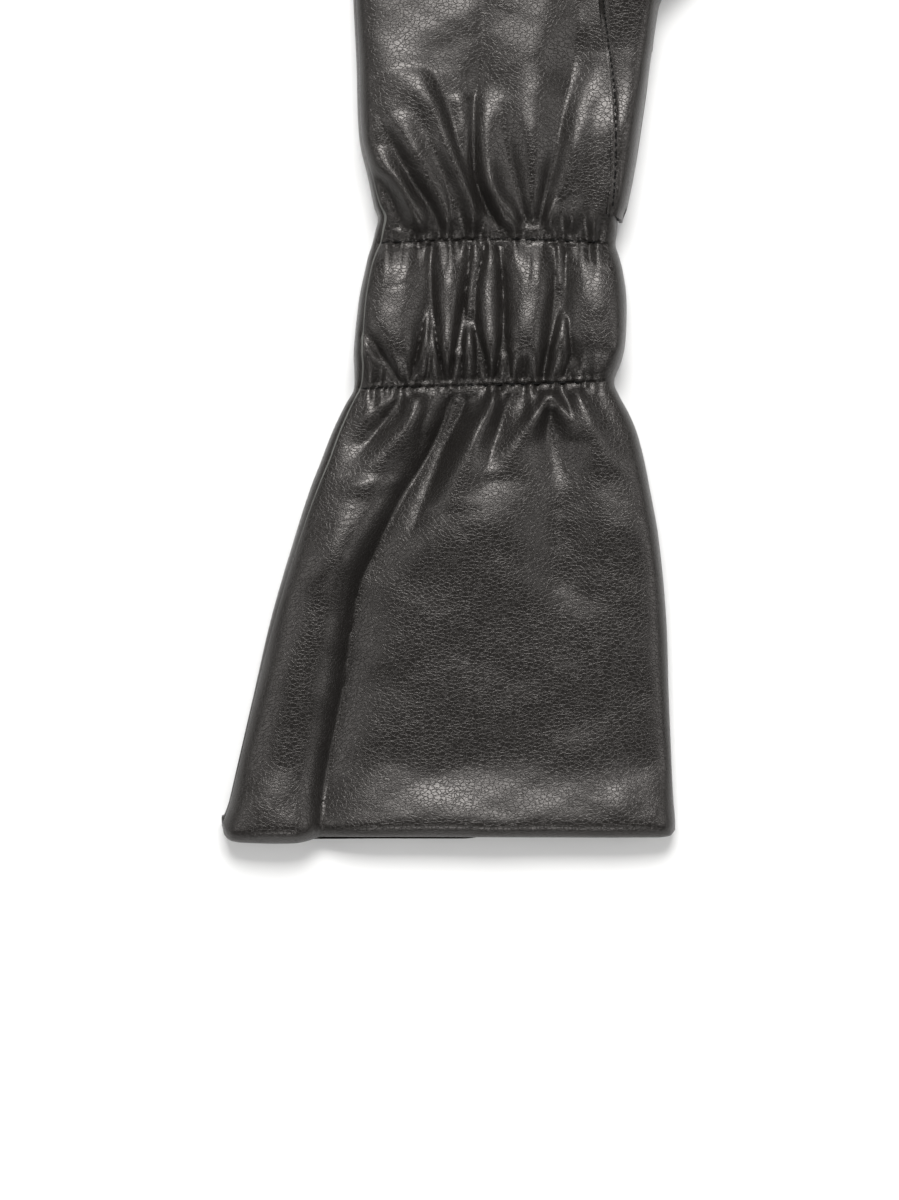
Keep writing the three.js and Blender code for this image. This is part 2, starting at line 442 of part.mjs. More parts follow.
// A finger's half of a panel, grown from the knuckle row. Side is 1 for the upper half and -1 for the under.
function growFinger(leather, finger, rootRow, side) {
  const columns = rootRow.length - 1;
  const root = rootRow.map((i) => leather.points[i]);
  const lean = degToRad(finger.lean);
  const direction = new THREE.Vector3(Math.sin(lean), Math.cos(lean), 0);
  const square = new THREE.Vector3(direction.y, -direction.x, 0);
  const middle = root[0].clone().lerp(root[columns], 0.5);
  const rootWidth = root[columns].clone().sub(root[0]).dot(square);
  const height = side > 0 ? finger.crown - SIDE_HEIGHT : SIDE_HEIGHT;
  const surface = (s, share) => {
    const roundEnd = clamp((s - finger.length + TIP_ROUND) / TIP_ROUND, 0, 1);
    const taper = lerp(rootWidth, finger.width, smoothstep(s, 0, FINGER_ROOT_REACH));
    const narrowing = (finger.width - finger.tipWidth) * (s / finger.length);
    const width = Math.max((taper - narrowing) * Math.sqrt(1 - roundEnd ** 2), TIP_END_WIDTH);
    const across = spread(2 * share - 1);
    const { upper, under } = FINGER_ROUNDNESS;
    const section = side > 0 ? arch(across, upper) : pressed(across, under);
    const rise = height * section * Math.sqrt(1 - roundEnd ** TIP_FALL);
    const point = middle.clone().addScaledVector(direction, s).addScaledVector(square, (across * width) / 2);
    return point.setZ(SIDE_HEIGHT + side * (rise + GAP / 2));
  };
  let before = rootRow;
  for (const part of FINGER_ROWS) {
    const s = part * finger.length;
    const settle = 1 - smoothstep(s, 0, FINGER_ROOT_REACH);
    const row = rootRow.map((_, j) => {
      const share = j / columns;
      const skew = root[j].clone().sub(surface(0, share)).setZ(0);
      const point = surface(s, share).addScaledVector(skew, settle);
      const edge = j === 0 ? square.clone().negate() : j === columns ? square : null;
      return leather.add(point, part === 1 ? direction : edge);
    });
    if (side > 0) leather.join(before, row);
    else leather.join(row, before);
    before = row;
  }
}

// The four fingers of a panel, each on its quarter of the knuckle row.
function growFingers(leather, knuckles, side) {
  const perFinger = (knuckles.length - 1) / FINGERS.length;
  FINGERS.forEach((finger, k) => {
    growFinger(leather, finger, knuckles.slice(k * perFinger, (k + 1) * perFinger + 1), side);
  });
}

// Seams of the knuckle row: sideways at its two ends and forwards in each crotch between two fingers.
function knuckleSeam(j, columns) {
  if (j === 0) return sideways(-1);
  if (j === columns) return sideways(1);
  return j % (columns / FINGERS.length) === 0 ? new THREE.Vector3(0, 1, 0) : null;
}

function frontPanel() {
  const leather = new Leather();
  let before = null;
  for (const row of BODY_ROWS) {
    const { middle, half } = spanAt(row);
    const web = webShare(row);
    const from = middle - half + along(OUTLINE, "inset", row) * (1 - web);
    const hole = holeEdge(row);
    const side = middle + half;
    const to = hole === null ? side : Math.min(hole + THUMB_HOLE.lap, side);
    const points = [];
    for (let j = 0; j <= FRONT_COLUMNS; j += 1) {
      const x = lerp(frontX(row, j, from, to), fingerX(j, FRONT_COLUMNS), web);
      const point = new THREE.Vector3(x, rowY(x, row), topHeight(x, row) + GAP / 2);
      let seam = row === KNUCKLE_ROW ? knuckleSeam(j, FRONT_COLUMNS) : null;
      if (row !== KNUCKLE_ROW && j === 0) seam = topNormal(x, row);
      if (row !== KNUCKLE_ROW && j === FRONT_COLUMNS) seam = to === side ? sideways(1) : topNormal(x, row);
      points.push(leather.add(point, seam));
    }
    if (before) leather.join(before, points);
    before = points;
  }
  growFingers(leather, before, 1);
  return leather.thicken(wallAt);
}

function rearPanel() {
  const leather = new Leather();
  let before = null;
  for (const row of BODY_ROWS) {
    const { middle, half } = spanAt(row);
    const web = webShare(row);
    const inset = along(OUTLINE, "inset", row) * (1 - web) - GAP;
    const hole = holeEdge(row);
    const side = middle + half;
    const to = hole === null ? side : Math.min(hole - THUMB_HOLE.seam, side);
    const strip = [];
    const showing = row < WEB_START;
    for (let j = 0; showing && j < STRIP_COLUMNS; j += 1) {
      const x = middle - half + inset * (1 - j / STRIP_COLUMNS) ** 2;
      const point = new THREE.Vector3(x, rowY(x, row), topHeight(x, row) - GAP / 2);
      strip.push(leather.add(point, j === 0 ? topNormal(x + GAP, row) : null));
    }
    const points = [];
    for (let j = 0; j <= REAR_COLUMNS; j += 1) {
      const palm = middle + half * spread(lerp(-1, placeOf((to - middle) / half), j / REAR_COLUMNS));
      const x = lerp(palm, fingerX(j, REAR_COLUMNS), web);
      const point = new THREE.Vector3(x, rowY(x, row), underHeight(x, row) - GAP / 2);
      let seam = row === KNUCKLE_ROW ? knuckleSeam(j, REAR_COLUMNS) : null;
      if (row !== KNUCKLE_ROW && j === 0) seam = sideways(-1);
      if (row !== KNUCKLE_ROW && j === REAR_COLUMNS) seam = to === side ? sideways(1) : DOWN;
      points.push(leather.add(point, seam));
    }
    if (before) leather.join(points, before.points);
    if (before && showing) leather.join([...strip, points[0]], [...before.strip, before.points[0]]);
    before = { strip, points };
  }
  growFingers(leather, before.points, -1);
  return leather.thicken(wallAt);
}

// A point of a rounded section that leaves its start at the start's own height and turns down at its end.
// Side is 1 for an upper section and -1 for an under one, and depth is from the fold line to the crown.
function sectionPoint(start, end, depth, side, share) {
  const fold = SIDE_HEIGHT + (side * GAP) / 2;
  const edge = depth > 0 ? clamp((side * (start.z - fold)) / depth, 0, 1) : 0;
  const first = -((1 - edge ** 2) ** (1 / THUMB_ROUNDNESS));
  const across = lerp(first, 1, (1 + spread(2 * share - 1)) / 2);
  const point = start.clone().lerp(end, (across - first) / (1 - first));
  return point.setZ(fold + side * depth * arch(across, THUMB_ROUNDNESS));
}

// Depth of the thumb's section above or under its fold line. Both come to nothing at the closed tip.
function thumbDepth(row, side) {
  const above = row.crown - SIDE_HEIGHT;
  return side > 0 ? above : Math.min(SIDE_HEIGHT, above);
}

// The thumb's upper side follows the front panel at first, a lap above it, and then becomes its own arch.
function thumbTop(row, tube, share) {
  const { middle, half } = spanAt(row.leftY);
  const x = middle + half * spread(lerp(placeOf((row.leftX - middle) / half), 1, share));
  const y = lerp(row.leftY, row.rightY, share);
  const lapOver = (px, py) => {
    const point = new THREE.Vector3(px, py, topAt(px, py));
    return point.addScaledVector(topNormal(px, py), LAP);
  };
  const atSide = new THREE.Vector3(x + LAP, y, SIDE_HEIGHT + GAP / 2);
  const lapped = share === 1 ? atSide : lapOver(x, y);
  const end = new THREE.Vector3(row.rightX, row.rightY, 0);
  const closed = new THREE.Vector3(row.leftX, row.leftY, SIDE_HEIGHT + GAP / 2);
  const start = tube ? closed : lapOver(row.leftX, row.leftY);
  return lapped.lerp(sectionPoint(start, end, thumbDepth(row, 1), 1, share), row.free);
}

function thumbUnder(row, tube, share) {
  const height = tube ? SIDE_HEIGHT - GAP / 2 : underAt(row.leftX, row.leftY);
  const start = new THREE.Vector3(row.leftX, row.leftY, height);
  const end = new THREE.Vector3(row.rightX, row.rightY, 0);
  return sectionPoint(start, end, thumbDepth(row, -1), -1, 1 - share);
}

function thumb() {
  const leather = new Leather();
  const shares = Array.from({ length: THUMB_COLUMNS + 1 }, (_, j) => j / THUMB_COLUMNS);
  const outwards = new THREE.Vector3(Math.cos(THUMB_LEAN), -Math.sin(THUMB_LEAN), 0);
  const inwards = outwards.clone().negate();
  const crotch = new THREE.Vector3(-Math.sin(THUMB_LEAN), Math.cos(THUMB_LEAN), 0);
  const onwards = new THREE.Vector3(Math.sin(THUMB_LEAN), Math.cos(THUMB_LEAN), 0);
  let before = null;
  THUMB.forEach((row, r) => {
    const tube = r >= THUMB_TUBE_ROW;
    const tip = r === THUMB.length - 1 ? onwards : null;
    const inner = r > THUMB_TUBE_ROW ? inwards : tube ? crotch : null;
    const lapSeam = row.free < 1 ? topNormal(row.leftX, row.leftY) : inner;
    const top = shares.map((share) => {
      const seam = share === 1 ? sideways(1).lerp(outwards, row.free) : null;
      return leather.add(thumbTop(row, tube, share), tip ?? (share === 0 ? lapSeam : seam));
    });
    const under = r < THUMB_UNDER_ROW ? [] : [top[THUMB_COLUMNS]];
    for (const share of under.length ? shares.slice(1) : []) {
      const seam = share === 1 ? (inner ?? DOWN) : null;
      under.push(leather.add(thumbUnder(row, tube, share), tip ?? seam));
    }
    if (before) leather.join(before.top, top);
    if (before && before.under.length) leather.join(before.under, under);
    before = { top, under };
  });
  return leather.thicken(() => LEATHER);
}

const glove = new THREE.Group();
const blackLeather = () => new THREE.MeshStandardMaterial({ color: 0x2b2a29, roughness: 0.5, metalness: 0 });
const pieces = { front_panel: frontPanel(), rear_panel: rearPanel(), thumb: thumb() };
for (const [name, geometry] of Object.entries(pieces)) {
  const mesh = new THREE.Mesh(geometry, blackLeather());
  mesh.name = name;
  glove.add(mesh);
}

// The origin is on the table, under the middle of the glove's outline.
const box = new THREE.Box3().setFromObject(glove);
const centre = box.getCenter(new THREE.Vector3());
glove.position.set(-centre.x, -centre.y, -box.min.z);

export default glove;
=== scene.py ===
# %% [markdown]
# # A long leather glove with a shirred wrist
# The glove lies on its palm side. Its leather is soft and black, and it is made of three pieces: the front
# panel, the rear panel and the thumb, whose long tongue is stitched over the front panel. Two elastic rows
# draw the wrist in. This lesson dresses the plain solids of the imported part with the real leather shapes.

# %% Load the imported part
import math

import bpy
import numpy as np
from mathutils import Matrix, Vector


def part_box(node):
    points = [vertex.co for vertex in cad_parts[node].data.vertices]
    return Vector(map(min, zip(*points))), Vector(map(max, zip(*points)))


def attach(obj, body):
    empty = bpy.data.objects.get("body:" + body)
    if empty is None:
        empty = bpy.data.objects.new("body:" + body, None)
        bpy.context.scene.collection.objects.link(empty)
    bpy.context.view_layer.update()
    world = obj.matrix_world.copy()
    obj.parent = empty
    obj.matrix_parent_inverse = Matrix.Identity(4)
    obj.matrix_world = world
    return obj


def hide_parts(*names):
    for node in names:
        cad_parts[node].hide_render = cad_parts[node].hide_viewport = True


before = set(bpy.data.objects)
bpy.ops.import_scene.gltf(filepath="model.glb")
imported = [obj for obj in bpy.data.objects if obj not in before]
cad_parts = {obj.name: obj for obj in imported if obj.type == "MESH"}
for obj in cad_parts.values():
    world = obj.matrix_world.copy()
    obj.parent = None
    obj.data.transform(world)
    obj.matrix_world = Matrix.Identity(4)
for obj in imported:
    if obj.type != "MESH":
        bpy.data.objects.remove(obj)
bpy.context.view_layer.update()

# %% [markdown]
# ## Camera and light
# The picture looks straight down, and the hand runs out of its upper edge. A long lens held high keeps the
# sides of the cuff from leaning. It is made first, because everything after it is compared with the picture.

# %% Camera straight above the cuff
MM = 0.001
PICTURE_HEIGHT = 348.0 * MM  # of the surface that the picture's long side takes in
PICTURE_MIDDLE = (-0.01498, -0.11547)
SENSOR = 36.0
CAMERA_HEIGHT = 1.5
GLOVE_MIDDLE = 8 * MM  # height at which the picture's scale is true


def place(name, data):
    """A new object in the scene."""
    made = bpy.data.objects.new(name, data)
    bpy.context.scene.collection.objects.link(made)
    return made


camera_data = bpy.data.cameras.new("camera")
camera_data.sensor_width = SENSOR
camera_data.lens = SENSOR * CAMERA_HEIGHT / PICTURE_HEIGHT
camera_data.clip_start, camera_data.clip_end = 0.05, 20
camera = place("camera", camera_data)
camera.location = (*PICTURE_MIDDLE, GLOVE_MIDDLE + CAMERA_HEIGHT)
bpy.context.scene.camera = camera
print("lens in mm:", round(camera_data.lens, 1))

# %% Soft lights all round, none of them straight above
# The camera would see a light above mirrored in all the level leather. With a dark space overhead, level
# leather stays dark and only the slopes of its folds catch the softboxes, as in the picture.
AIM = Vector((-0.01, -0.08, 0.0))
LIGHT_DISTANCE = 1.7


def softbox(name, from_above, turn, size, power):
    """A softbox so many degrees down from straight above, turned so many degrees from +X, facing the glove."""
    data = bpy.data.lights.new(name, "AREA")
    data.shape = "RECTANGLE"
    data.size, data.size_y = size
    data.energy = power
    light = place(name, data)
    down, round_z = math.radians(from_above), math.radians(turn)
    away = Vector((math.sin(down) * math.cos(round_z), math.sin(down) * math.sin(round_z), math.cos(down)))
    light.location = AIM + LIGHT_DISTANCE * away
    light.rotation_mode = "QUATERNION"
    light.rotation_quaternion = away.to_track_quat("Z", "Y")


softbox("softbox_fingers", 33, 90, (0.9, 0.6), 36)
softbox("softbox_fingers_low", 65, 95, (0.9, 0.8), 8)
softbox("softbox_hem", 50, 270, (0.8, 0.6), 9)
softbox("softbox_thumb_side", 50, 0, (0.9, 0.9), 8.5)
softbox("softbox_little_finger_side", 50, 180, (0.9, 0.9), 7)

print("softboxes:", [light.name for light in bpy.data.lights])

# %% [markdown]
# ## The room and the table
# Materials are made of nodes that are joined socket to socket. Writing each node and each link on its own line
# is long, so one helper adds a node and fills its sockets, with a plain value or with what another node puts
# out. The room glows faintly near the horizon and is dark overhead, and the table is white and glows a little,
# a painted light that lightens the shadows on it.

# %% Nodes, and a room to test them on
HORIZON_GLOW = 0.2
GLOW_TOP = 0.6  # the height on the unit sphere of directions where the glow has died away


def feed(tree, node, sockets):
    """Fills sockets with plain values, or joins them to the outputs of other nodes."""
    for name, value in sockets.items():
        if isinstance(value, bpy.types.NodeSocket):
            tree.links.new(value, node.inputs[name])
        else:
            node.inputs[name].default_value = value
    return node


def put(tree, kind, sockets=None, **settings):
    made = tree.nodes.new(kind)
    for name, value in settings.items():
        setattr(made, name, value)
    return feed(tree, made, sockets or {})


world = bpy.data.worlds.new("studio")
bpy.context.scene.world = world
world.use_nodes = True
room = world.node_tree
look = put(room, "ShaderNodeTexCoord").outputs["Generated"]
height = put(room, "ShaderNodeSeparateXYZ", {0: look}).outputs["Z"]
glow = put(room, "ShaderNodeMapRange",
           {"Value": height, "From Max": GLOW_TOP, "To Min": HORIZON_GLOW, "To Max": 0.0})
feed(room, room.nodes["Background"], {"Color": (1.0, 0.995, 0.98, 1), "Strength": glow.outputs["Result"]})
bpy.context.scene.view_settings.view_transform = "Standard"
bpy.context.scene.view_settings.look = "None"
print("nodes of the room:", [node.name for node in room.nodes])

# %% The white table
FLOOR_HALF = 3.0
# painted light: the table glows a little by itself, which also lightens the shadows cast on it
TABLE_GLOW = 0.15  # it shines a little, so that it is as white as a lit studio table looks


def new_finish(name, sockets):
    """A material, its node tree, and its shader with these sockets filled."""
    material = bpy.data.materials.new(name)
    material.use_nodes = True
    tree = material.node_tree
    return material, tree, feed(tree, tree.nodes["Principled BSDF"], sockets)


floor_mesh = bpy.data.meshes.new("floor")
floor_corners = [(FLOOR_HALF * x, FLOOR_HALF * y, 0) for x, y in ((-1, -1), (1, -1), (1, 1), (-1, 1))]
floor_mesh.from_pydata(floor_corners, [], [(0, 1, 2, 3)])
floor_mesh.materials.append(new_finish("white_table", {
    "Base Color": (0.66, 0.657, 0.65, 1), "Roughness": 0.8,
    "Emission Color": (1, 1, 1, 1), "Emission Strength": TABLE_GLOW})[0])
floor = place("floor", floor_mesh)
print("table in metres:", 2 * FLOOR_HALF)

# %% [markdown]
# ## The pattern
# All the measures are in millimetres, with Y counted from the hem and X from the middle of the hand, as the
# solids were drawn. One function per surface gives its height over any point, so the front panel, the thumb's
# tongue that laps it and the stitches that hold it all agree. Short tables with named columns hold the
# outline and the folds, and a smooth curve is drawn through their rows.

# %% Measures
ORIGIN = np.array([-14.98, -184.47, 0.15])  # of the pattern, in the part's own frame
LEATHER = 1.1
HEM_WALL = 2.0
HEM_DEPTH = 15.0
GAP = 0.3  # between two leathers
SIDE_HEIGHT = 4.0  # of the line where the front and the rear panel meet
PRESSED_FLAT = 1.02
SPACING_ARC = math.radians(75)
LOWER_ROW, LOWER_TILT = 131.2, 0.031
UPPER_ROW, UPPER_BOW = 173.4, -1.3
SHIRRING_FADE = 36.0
KNUCKLE_ROW = 288.0
WEB_START = 260.0
HEM_EDGE_REACH = 20.0


def table(columns, *rows):
    """A table with named columns, each an array."""
    return {name: np.array(values, float) for name, values in zip(columns.split(), zip(*rows))}


def smoothstep(value, start, end):
    t = np.clip((np.asarray(value, float) - start) / (end - start), 0, 1)
    return t * t * (3 - 2 * t)


def lerp(a, b, t):
    return a + (b - a) * t


def bell(value, half_width):
    return np.exp(-((value / half_width) ** 2))


def along(rows, column, at, axis="y"):
    """The value of a column at places along a table, on a smooth curve through its rows."""
    stops, values = rows[axis], rows[column]
    last = len(stops) - 1
    at = np.clip(np.asarray(at, float), stops[0], stops[-1])
    i = np.clip(np.searchsorted(stops, at, side="left") - 1, 0, last - 1)
    before, after = np.maximum(np.arange(last + 1) - 1, 0), np.minimum(np.arange(last + 1) + 1, last)
    slope = (values[after] - values[before]) / (stops[after] - stops[before])
    span = stops[i + 1] - stops[i]
    t = (at - stops[i]) / span
    chord = (values[i + 1] - values[i]) / span
    bend = t * (1 - t) * span
    straight = values[i] + (values[i + 1] - values[i]) * t
    return straight + bend * ((slope[i] - chord) * (1 - t) - (slope[i + 1] - chord) * t)


def arch(across, exponent):
    """A cross-section's arch: 1 in the middle, 0 at both sides, with upright sides."""
    return np.sqrt(np.maximum(0, 1 - np.abs(across) ** exponent))


def pressed(across, exponent):
    return np.minimum(1, PRESSED_FLAT * arch(across, exponent))


# %% The outline seen from above, and the crown's height along the glove
OUTLINE = table(
    "y left right inset",
    (0, -66.2, 65.6, 0.5), (3, -66.2, 65.6, 0.5), (12, -63.8, 65, 0.5), (40, -57.3, 63.8, 0.6),
    (64, -51.8, 63, 1.5), (87, -45.1, 60.8, 2), (102, -40.3, 58.1, 2.6), (110, -37.3, 56.4, 2.8),
    (117, -34.8, 54.4, 2.7), (122, -32.7, 52.2, 2.6), (127.5, -30, 49.2, 2.3), (131.2, -27.9, 47.9, 2.2),
    (137, -27.7, 49.9, 2.9), (142, -27.9, 51, 2.9), (152, -27, 51.5, 2.5), (159, -26.1, 51.3, 2.3),
    (166, -24.6, 50.3, 2.1), (170, -23.7, 49.3, 2.5), (173.4, -22.6, 48.3, 2.8), (177, -21.7, 48.7, 2.8),
    (181, -20.8, 49.1, 2.6), (184, -21.9, 50.3, 2.1), (191, -23.4, 51.9, 1.4), (203, -26.2, 53.9, 0.9),
    (226, -27.1, 57.1, 0.9), (244, -28, 59, 0.9), (266, -28.6, 57, 0.8), (288, -29, 59, 0.6),
)
SIDE_SQUARENESS = table("y power", (0, 34), (87, 34), (102, 34), (110, 32), (117, 32), (288, 32))
CROWN = table(
    "y height",
    # the hem's doubled edge curls up a little, and the cuff rises to the folds beside the wrist
    (0, 13.2), (4, 14.3), (8, 13.9), (20, 11.8), (30, 12.1), (40, 12.8), (64, 14.4), (85, 16.3),
    (95, 16), (110, 14.4), (120, 13.2), (127.5, 12.3), (131.2, 11.8),
    # the band
    (135, 14.4), (140, 17.2), (144, 18), (150, 17.6), (158, 16.7), (166, 15.2), (170, 13.6), (173.4, 11.8),
    # the hand, highest where its folds end
    (177, 13.2), (181, 15), (186, 16.2), (193, 17), (205, 17.8), (220, 17.2), (244, 15.4),
    (266, 14.4), (288, 13),
)
HEM_EDGE = table(
    "x lift",
    (-66.2, 3.6), (-65.4, 0.9), (-63.4, -0.8), (-58, -1.4), (-45, -1.5),
    (-41, -0.8), (-37, 0.3), (58, 0.2), (64, 0.6), (65.6, 2.2),
)
KNUCKLE_LINE = table("x y", (-29, 278), (-8, 284), (14.5, 291), (36.8, 292), (59, 285))
FINGERS = table(
    "left right length lean width tip crown",
    (-29, -8, 59, -7.5, 18.5, 15.5, 11),
    (-8, 14.5, 73, -3, 20.5, 16.5, 11.5),
    (14.5, 36.8, 79, 0.5, 21, 17, 12),
    (36.8, 59, 72, 4, 20.5, 16.5, 12),
)
THUMB = table(
    "row leftX leftY rightX rightY crown free",
    (0, 45, 180.4, 50.7, 178.6, 14, 0), (1, 46, 187, 52.6, 186, 14, 0),
    (2, 46.5, 198, 54.8, 197, 15, 0), (3, 46.6, 209, 56, 208, 16, 0),
    (4, 46, 219, 57.6, 218, 17, 0), (5, 44.8, 228.6, 59.2, 228.6, 18, 0.25),
    (6, 43.5, 238.5, 60.2, 237, 18.5, 0.7), (7, 43.2, 246.4, 61.8, 243.6, 19, 1),
    (8, 45.2, 252.8, 66.6, 248.8, 19, 1), (9, 49, 257.8, 72, 253.8, 18.5, 1),
    (10, 53.6, 261.8, 77.4, 258.8, 18, 1), (11, 58.9, 265.2, 82, 264.2, 17.5, 1),
    (12, 61.8, 271, 85.6, 270.2, 16.5, 1), (13, 65.6, 280.4, 89.6, 278.2, 15.5, 1),
    (14, 69.6, 290, 92.8, 286.6, 14.5, 1), (15, 73.8, 299.4, 95.2, 295.4, 13.5, 1),
    (16, 78.2, 307.6, 96.2, 303.6, 12, 1), (17, 82.2, 312.8, 95.2, 309.8, 10, 1),
    (18, 86.4, 315.8, 92.8, 314.4, 6.5, 1), (19, 88.2, 316.6, 91.7, 315.7, 4, 1),
)
THUMB_UNDER_ROW = 5  # of the table, where the thumb's palm side begins to close
THUMB_TUBE_ROW = 11  # where the thumb is a closed tube
THUMB_ROUNDNESS = 6
HOLE_FROM, HOLE_TO, HOLE_LAP, HOLE_SEAM = 227.6, 265.3, 3.0, 0.9


def span_at(y):
    """The middle of the glove and half of its width, at a height above the hem."""
    left, right = along(OUTLINE, "left", y), along(OUTLINE, "right", y)
    return (left + right) / 2, (right - left) / 2


def web_share(y):
    """How much of the way from one palm to four fingers a row has come."""
    return smoothstep(y, WEB_START, KNUCKLE_ROW)


def shirring_bend(x, row):
    """How far the two elastic rows bend the rows near them away from straight."""
    middle, half = span_at(row)
    lower = LOWER_TILT * (x - middle)
    upper = UPPER_BOW * ((x - middle) / half) ** 2
    fade = smoothstep(row, LOWER_ROW - SHIRRING_FADE, LOWER_ROW)
    fade = fade * (1 - smoothstep(row, UPPER_ROW, UPPER_ROW + SHIRRING_FADE))
    return lerp(lower, upper, smoothstep(row, LOWER_ROW, UPPER_ROW)) * fade


def row_y(x, row):
    """Where the row that is nominally at Y really lies."""
    hem = along(HEM_EDGE, "lift", x, "x") * (1 - smoothstep(row, 0, HEM_EDGE_REACH))
    knuckle = (along(KNUCKLE_LINE, "y", x, "x") - KNUCKLE_ROW) * web_share(row)
    return row + hem + knuckle + shirring_bend(x, row)


print("hem width in mm:", OUTLINE["right"][0] - OUTLINE["left"][0])

# %% [markdown]
# ## Folds
# Soft leather that is drawn in by elastic folds away from each row: rounded ridges with sharper valleys
# between them, which spread and die away. Sculpting or a cloth simulation would give folds, but not these
# ones, so each fold is a short table of its path, height and half width, and they are added up.

# %% One fold as a height over the plan
# Of all the folds in the tables: soft leather rounds them off, and its ridges more than its valleys.
RIDGE_HEIGHT, VALLEY_DEPTH, RIDGE_WIDTH, VALLEY_WIDTH = 0.9, 0.85, 1.45, 1.15
VALLEY_POINT = 0.72  # a valley's bottom is sharper than a ridge's crest
BOTTOM_ROUND = 0.4  # but never sharper than the leather's columns can follow
FOLD_END = 1.5  # half of the length over which a fold dies away at each end
SLOPE_STEP = 0.5


def fold(*rows, crease=2.0):
    """A fold's path: y, x, height (a valley is negative), and the half width of its left and its right flank.
    A row with one half width has it on both sides."""
    rows = sorted((*row, row[-1]) if len(row) == 4 else row for row in rows)
    return {"path": table("y x height left right", *rows), "crease": crease}


def fold_rise(one, x, y):
    path = one["path"]
    slope = (along(path, "x", y + SLOPE_STEP) - along(path, "x", y - SLOPE_STEP)) / (2 * SLOPE_STEP)
    across = (x - along(path, "x", y)) / np.sqrt(1 + slope ** 2)
    width = np.where(across < 0, along(path, "left", y), along(path, "right", y))
    low, high = path["y"][0], path["y"][-1]
    ends = smoothstep(y, low - FOLD_END, low + FOLD_END) * (1 - smoothstep(y, high - FOLD_END, high + FOLD_END))
    height = along(path, "height", y)
    width = width * np.where(height > 0, RIDGE_WIDTH, VALLEY_WIDTH)
    point = one["crease"] * np.where(height > 0, 1.0, VALLEY_POINT)
    height = height * np.where(height > 0, RIDGE_HEIGHT, VALLEY_DEPTH)
    return height * ends * np.exp(-(np.hypot(across, BOTTOM_ROUND) / width) ** point)


def folds_rise(folds, x, y):
    return sum(fold_rise(one, x, y) for one in folds)


# %% The folds of the cuff and of the hand
CUFF_FOLDS = [
    # the deep pleat, with a steep left wall and a slow right one
    fold((-3, -37.6, -5.8, 2.6, 6), (15, -36.3, -6.6, 2.6, 7), (44, -30.8, -7.2, 2.7, 8),
         (72, -26.3, -7.4, 2.8, 8), (84, -21, -7.4, 2.8, 7), (98, -14.2, -7.2, 2.7, 5.4),
         (110, -6.9, -6.6, 2.4, 4), (120, -2.2, -5.8, 2.2, 3), (129, 1, -3.6, 1.7, 1.9), crease=1.6),
    # the ridge on its left and the roll that the ridge becomes
    fold((0, -50, 1, 8), (44, -45, 2.5, 8), (76, -35, 2.2, 7), (104, -24, 1.2, 5)),
    fold((99, -25, 0.4, 4), (108, -20.2, 2.2, 3.4), (115.4, -14.8, 3.4, 2.9), (121.2, -10.9, 3.8, 2.4),
         (129, -8.8, 3.4, 2)),
    fold((109, -27.5, 0, 2), (115.4, -23.1, -1.6, 2), (121.2, -18.7, -2.2, 1.8), (129, -13.5, -2, 1.6),
         crease=1.6),
    fold((114, -27.5, 0, 2.2), (119.8, -23.6, 1.2, 2.2), (124.1, -20.2, 1.8, 2), (129, -15.5, 1.4, 1.6)),
    fold((108, -9, 0, 1.2), (113, -8.6, -1, 1.2), (119, -8, -1.2, 1.2), (124, -6.5, -0.6, 1.2), crease=1.5),
    # the second valley and the bright ridge on the right of the pleat
    fold((80.6, -14.4, 0, 2.4, 3), (95.1, -8.6, -1.8, 2.4, 3), (103.8, -5.1, -2.6, 2.4, 3),
         (112.5, -1.9, -3.2, 2.2, 2.8), (119.8, 1.6, -3.2, 2, 2.4), (129, 5.5, -2.2, 1.6, 1.8), crease=1.7),
    fold((95, 0, 0.6, 4, 5), (105.2, 2.6, 2.8, 3.4, 4), (112.5, 5.8, 3.8, 2.8, 3), (118.3, 8.6, 4.2, 2.5, 2.4),
         (124.1, 11.7, 4, 2.2, 2), (130, 14, 3.2, 1.8, 1.6)),
    fold((106, 11, 0, 2.2), (112, 12.2, -1.8, 2.2), (120, 14.8, -2.4, 1.9), (129, 18, -2.2, 1.5), crease=1.6),
    # the fork above the middle of the cuff, and the ridge at its right
    fold((104, 15.6, 0.3, 4), (112, 19, 1.8, 3.2, 3), (118, 22.4, 3, 2.5, 2.3), (124, 26.2, 3.6, 2, 1.7),
         (130, 28.8, 3.2, 1.6, 1.4)),
    fold((115, 38, 0.3, 2.4), (120.5, 34.8, 2.2, 1.9), (125, 31.8, 2.8, 1.6), (129, 29.9, 2.2, 1.2)),
    fold((92, 33, 0, 6), (102, 31.8, -1.6, 5, 6), (110, 30.4, -2.5, 3.6, 4.4), (118, 29.2, -3, 2.4, 2.8),
         (124, 29.2, -2.2, 1.4), crease=2.8),
    fold((106, 44.6, 0.4, 4), (116, 42, 2.4, 2.9), (124.1, 38.6, 3.2, 2.3), (131, 36.4, 2.8, 1.8)),
    fold((116, 36.5, 0, 2), (122, 35.2, -1.4, 1.8), (130, 33.4, -1.4, 1.4), crease=1.6),
]
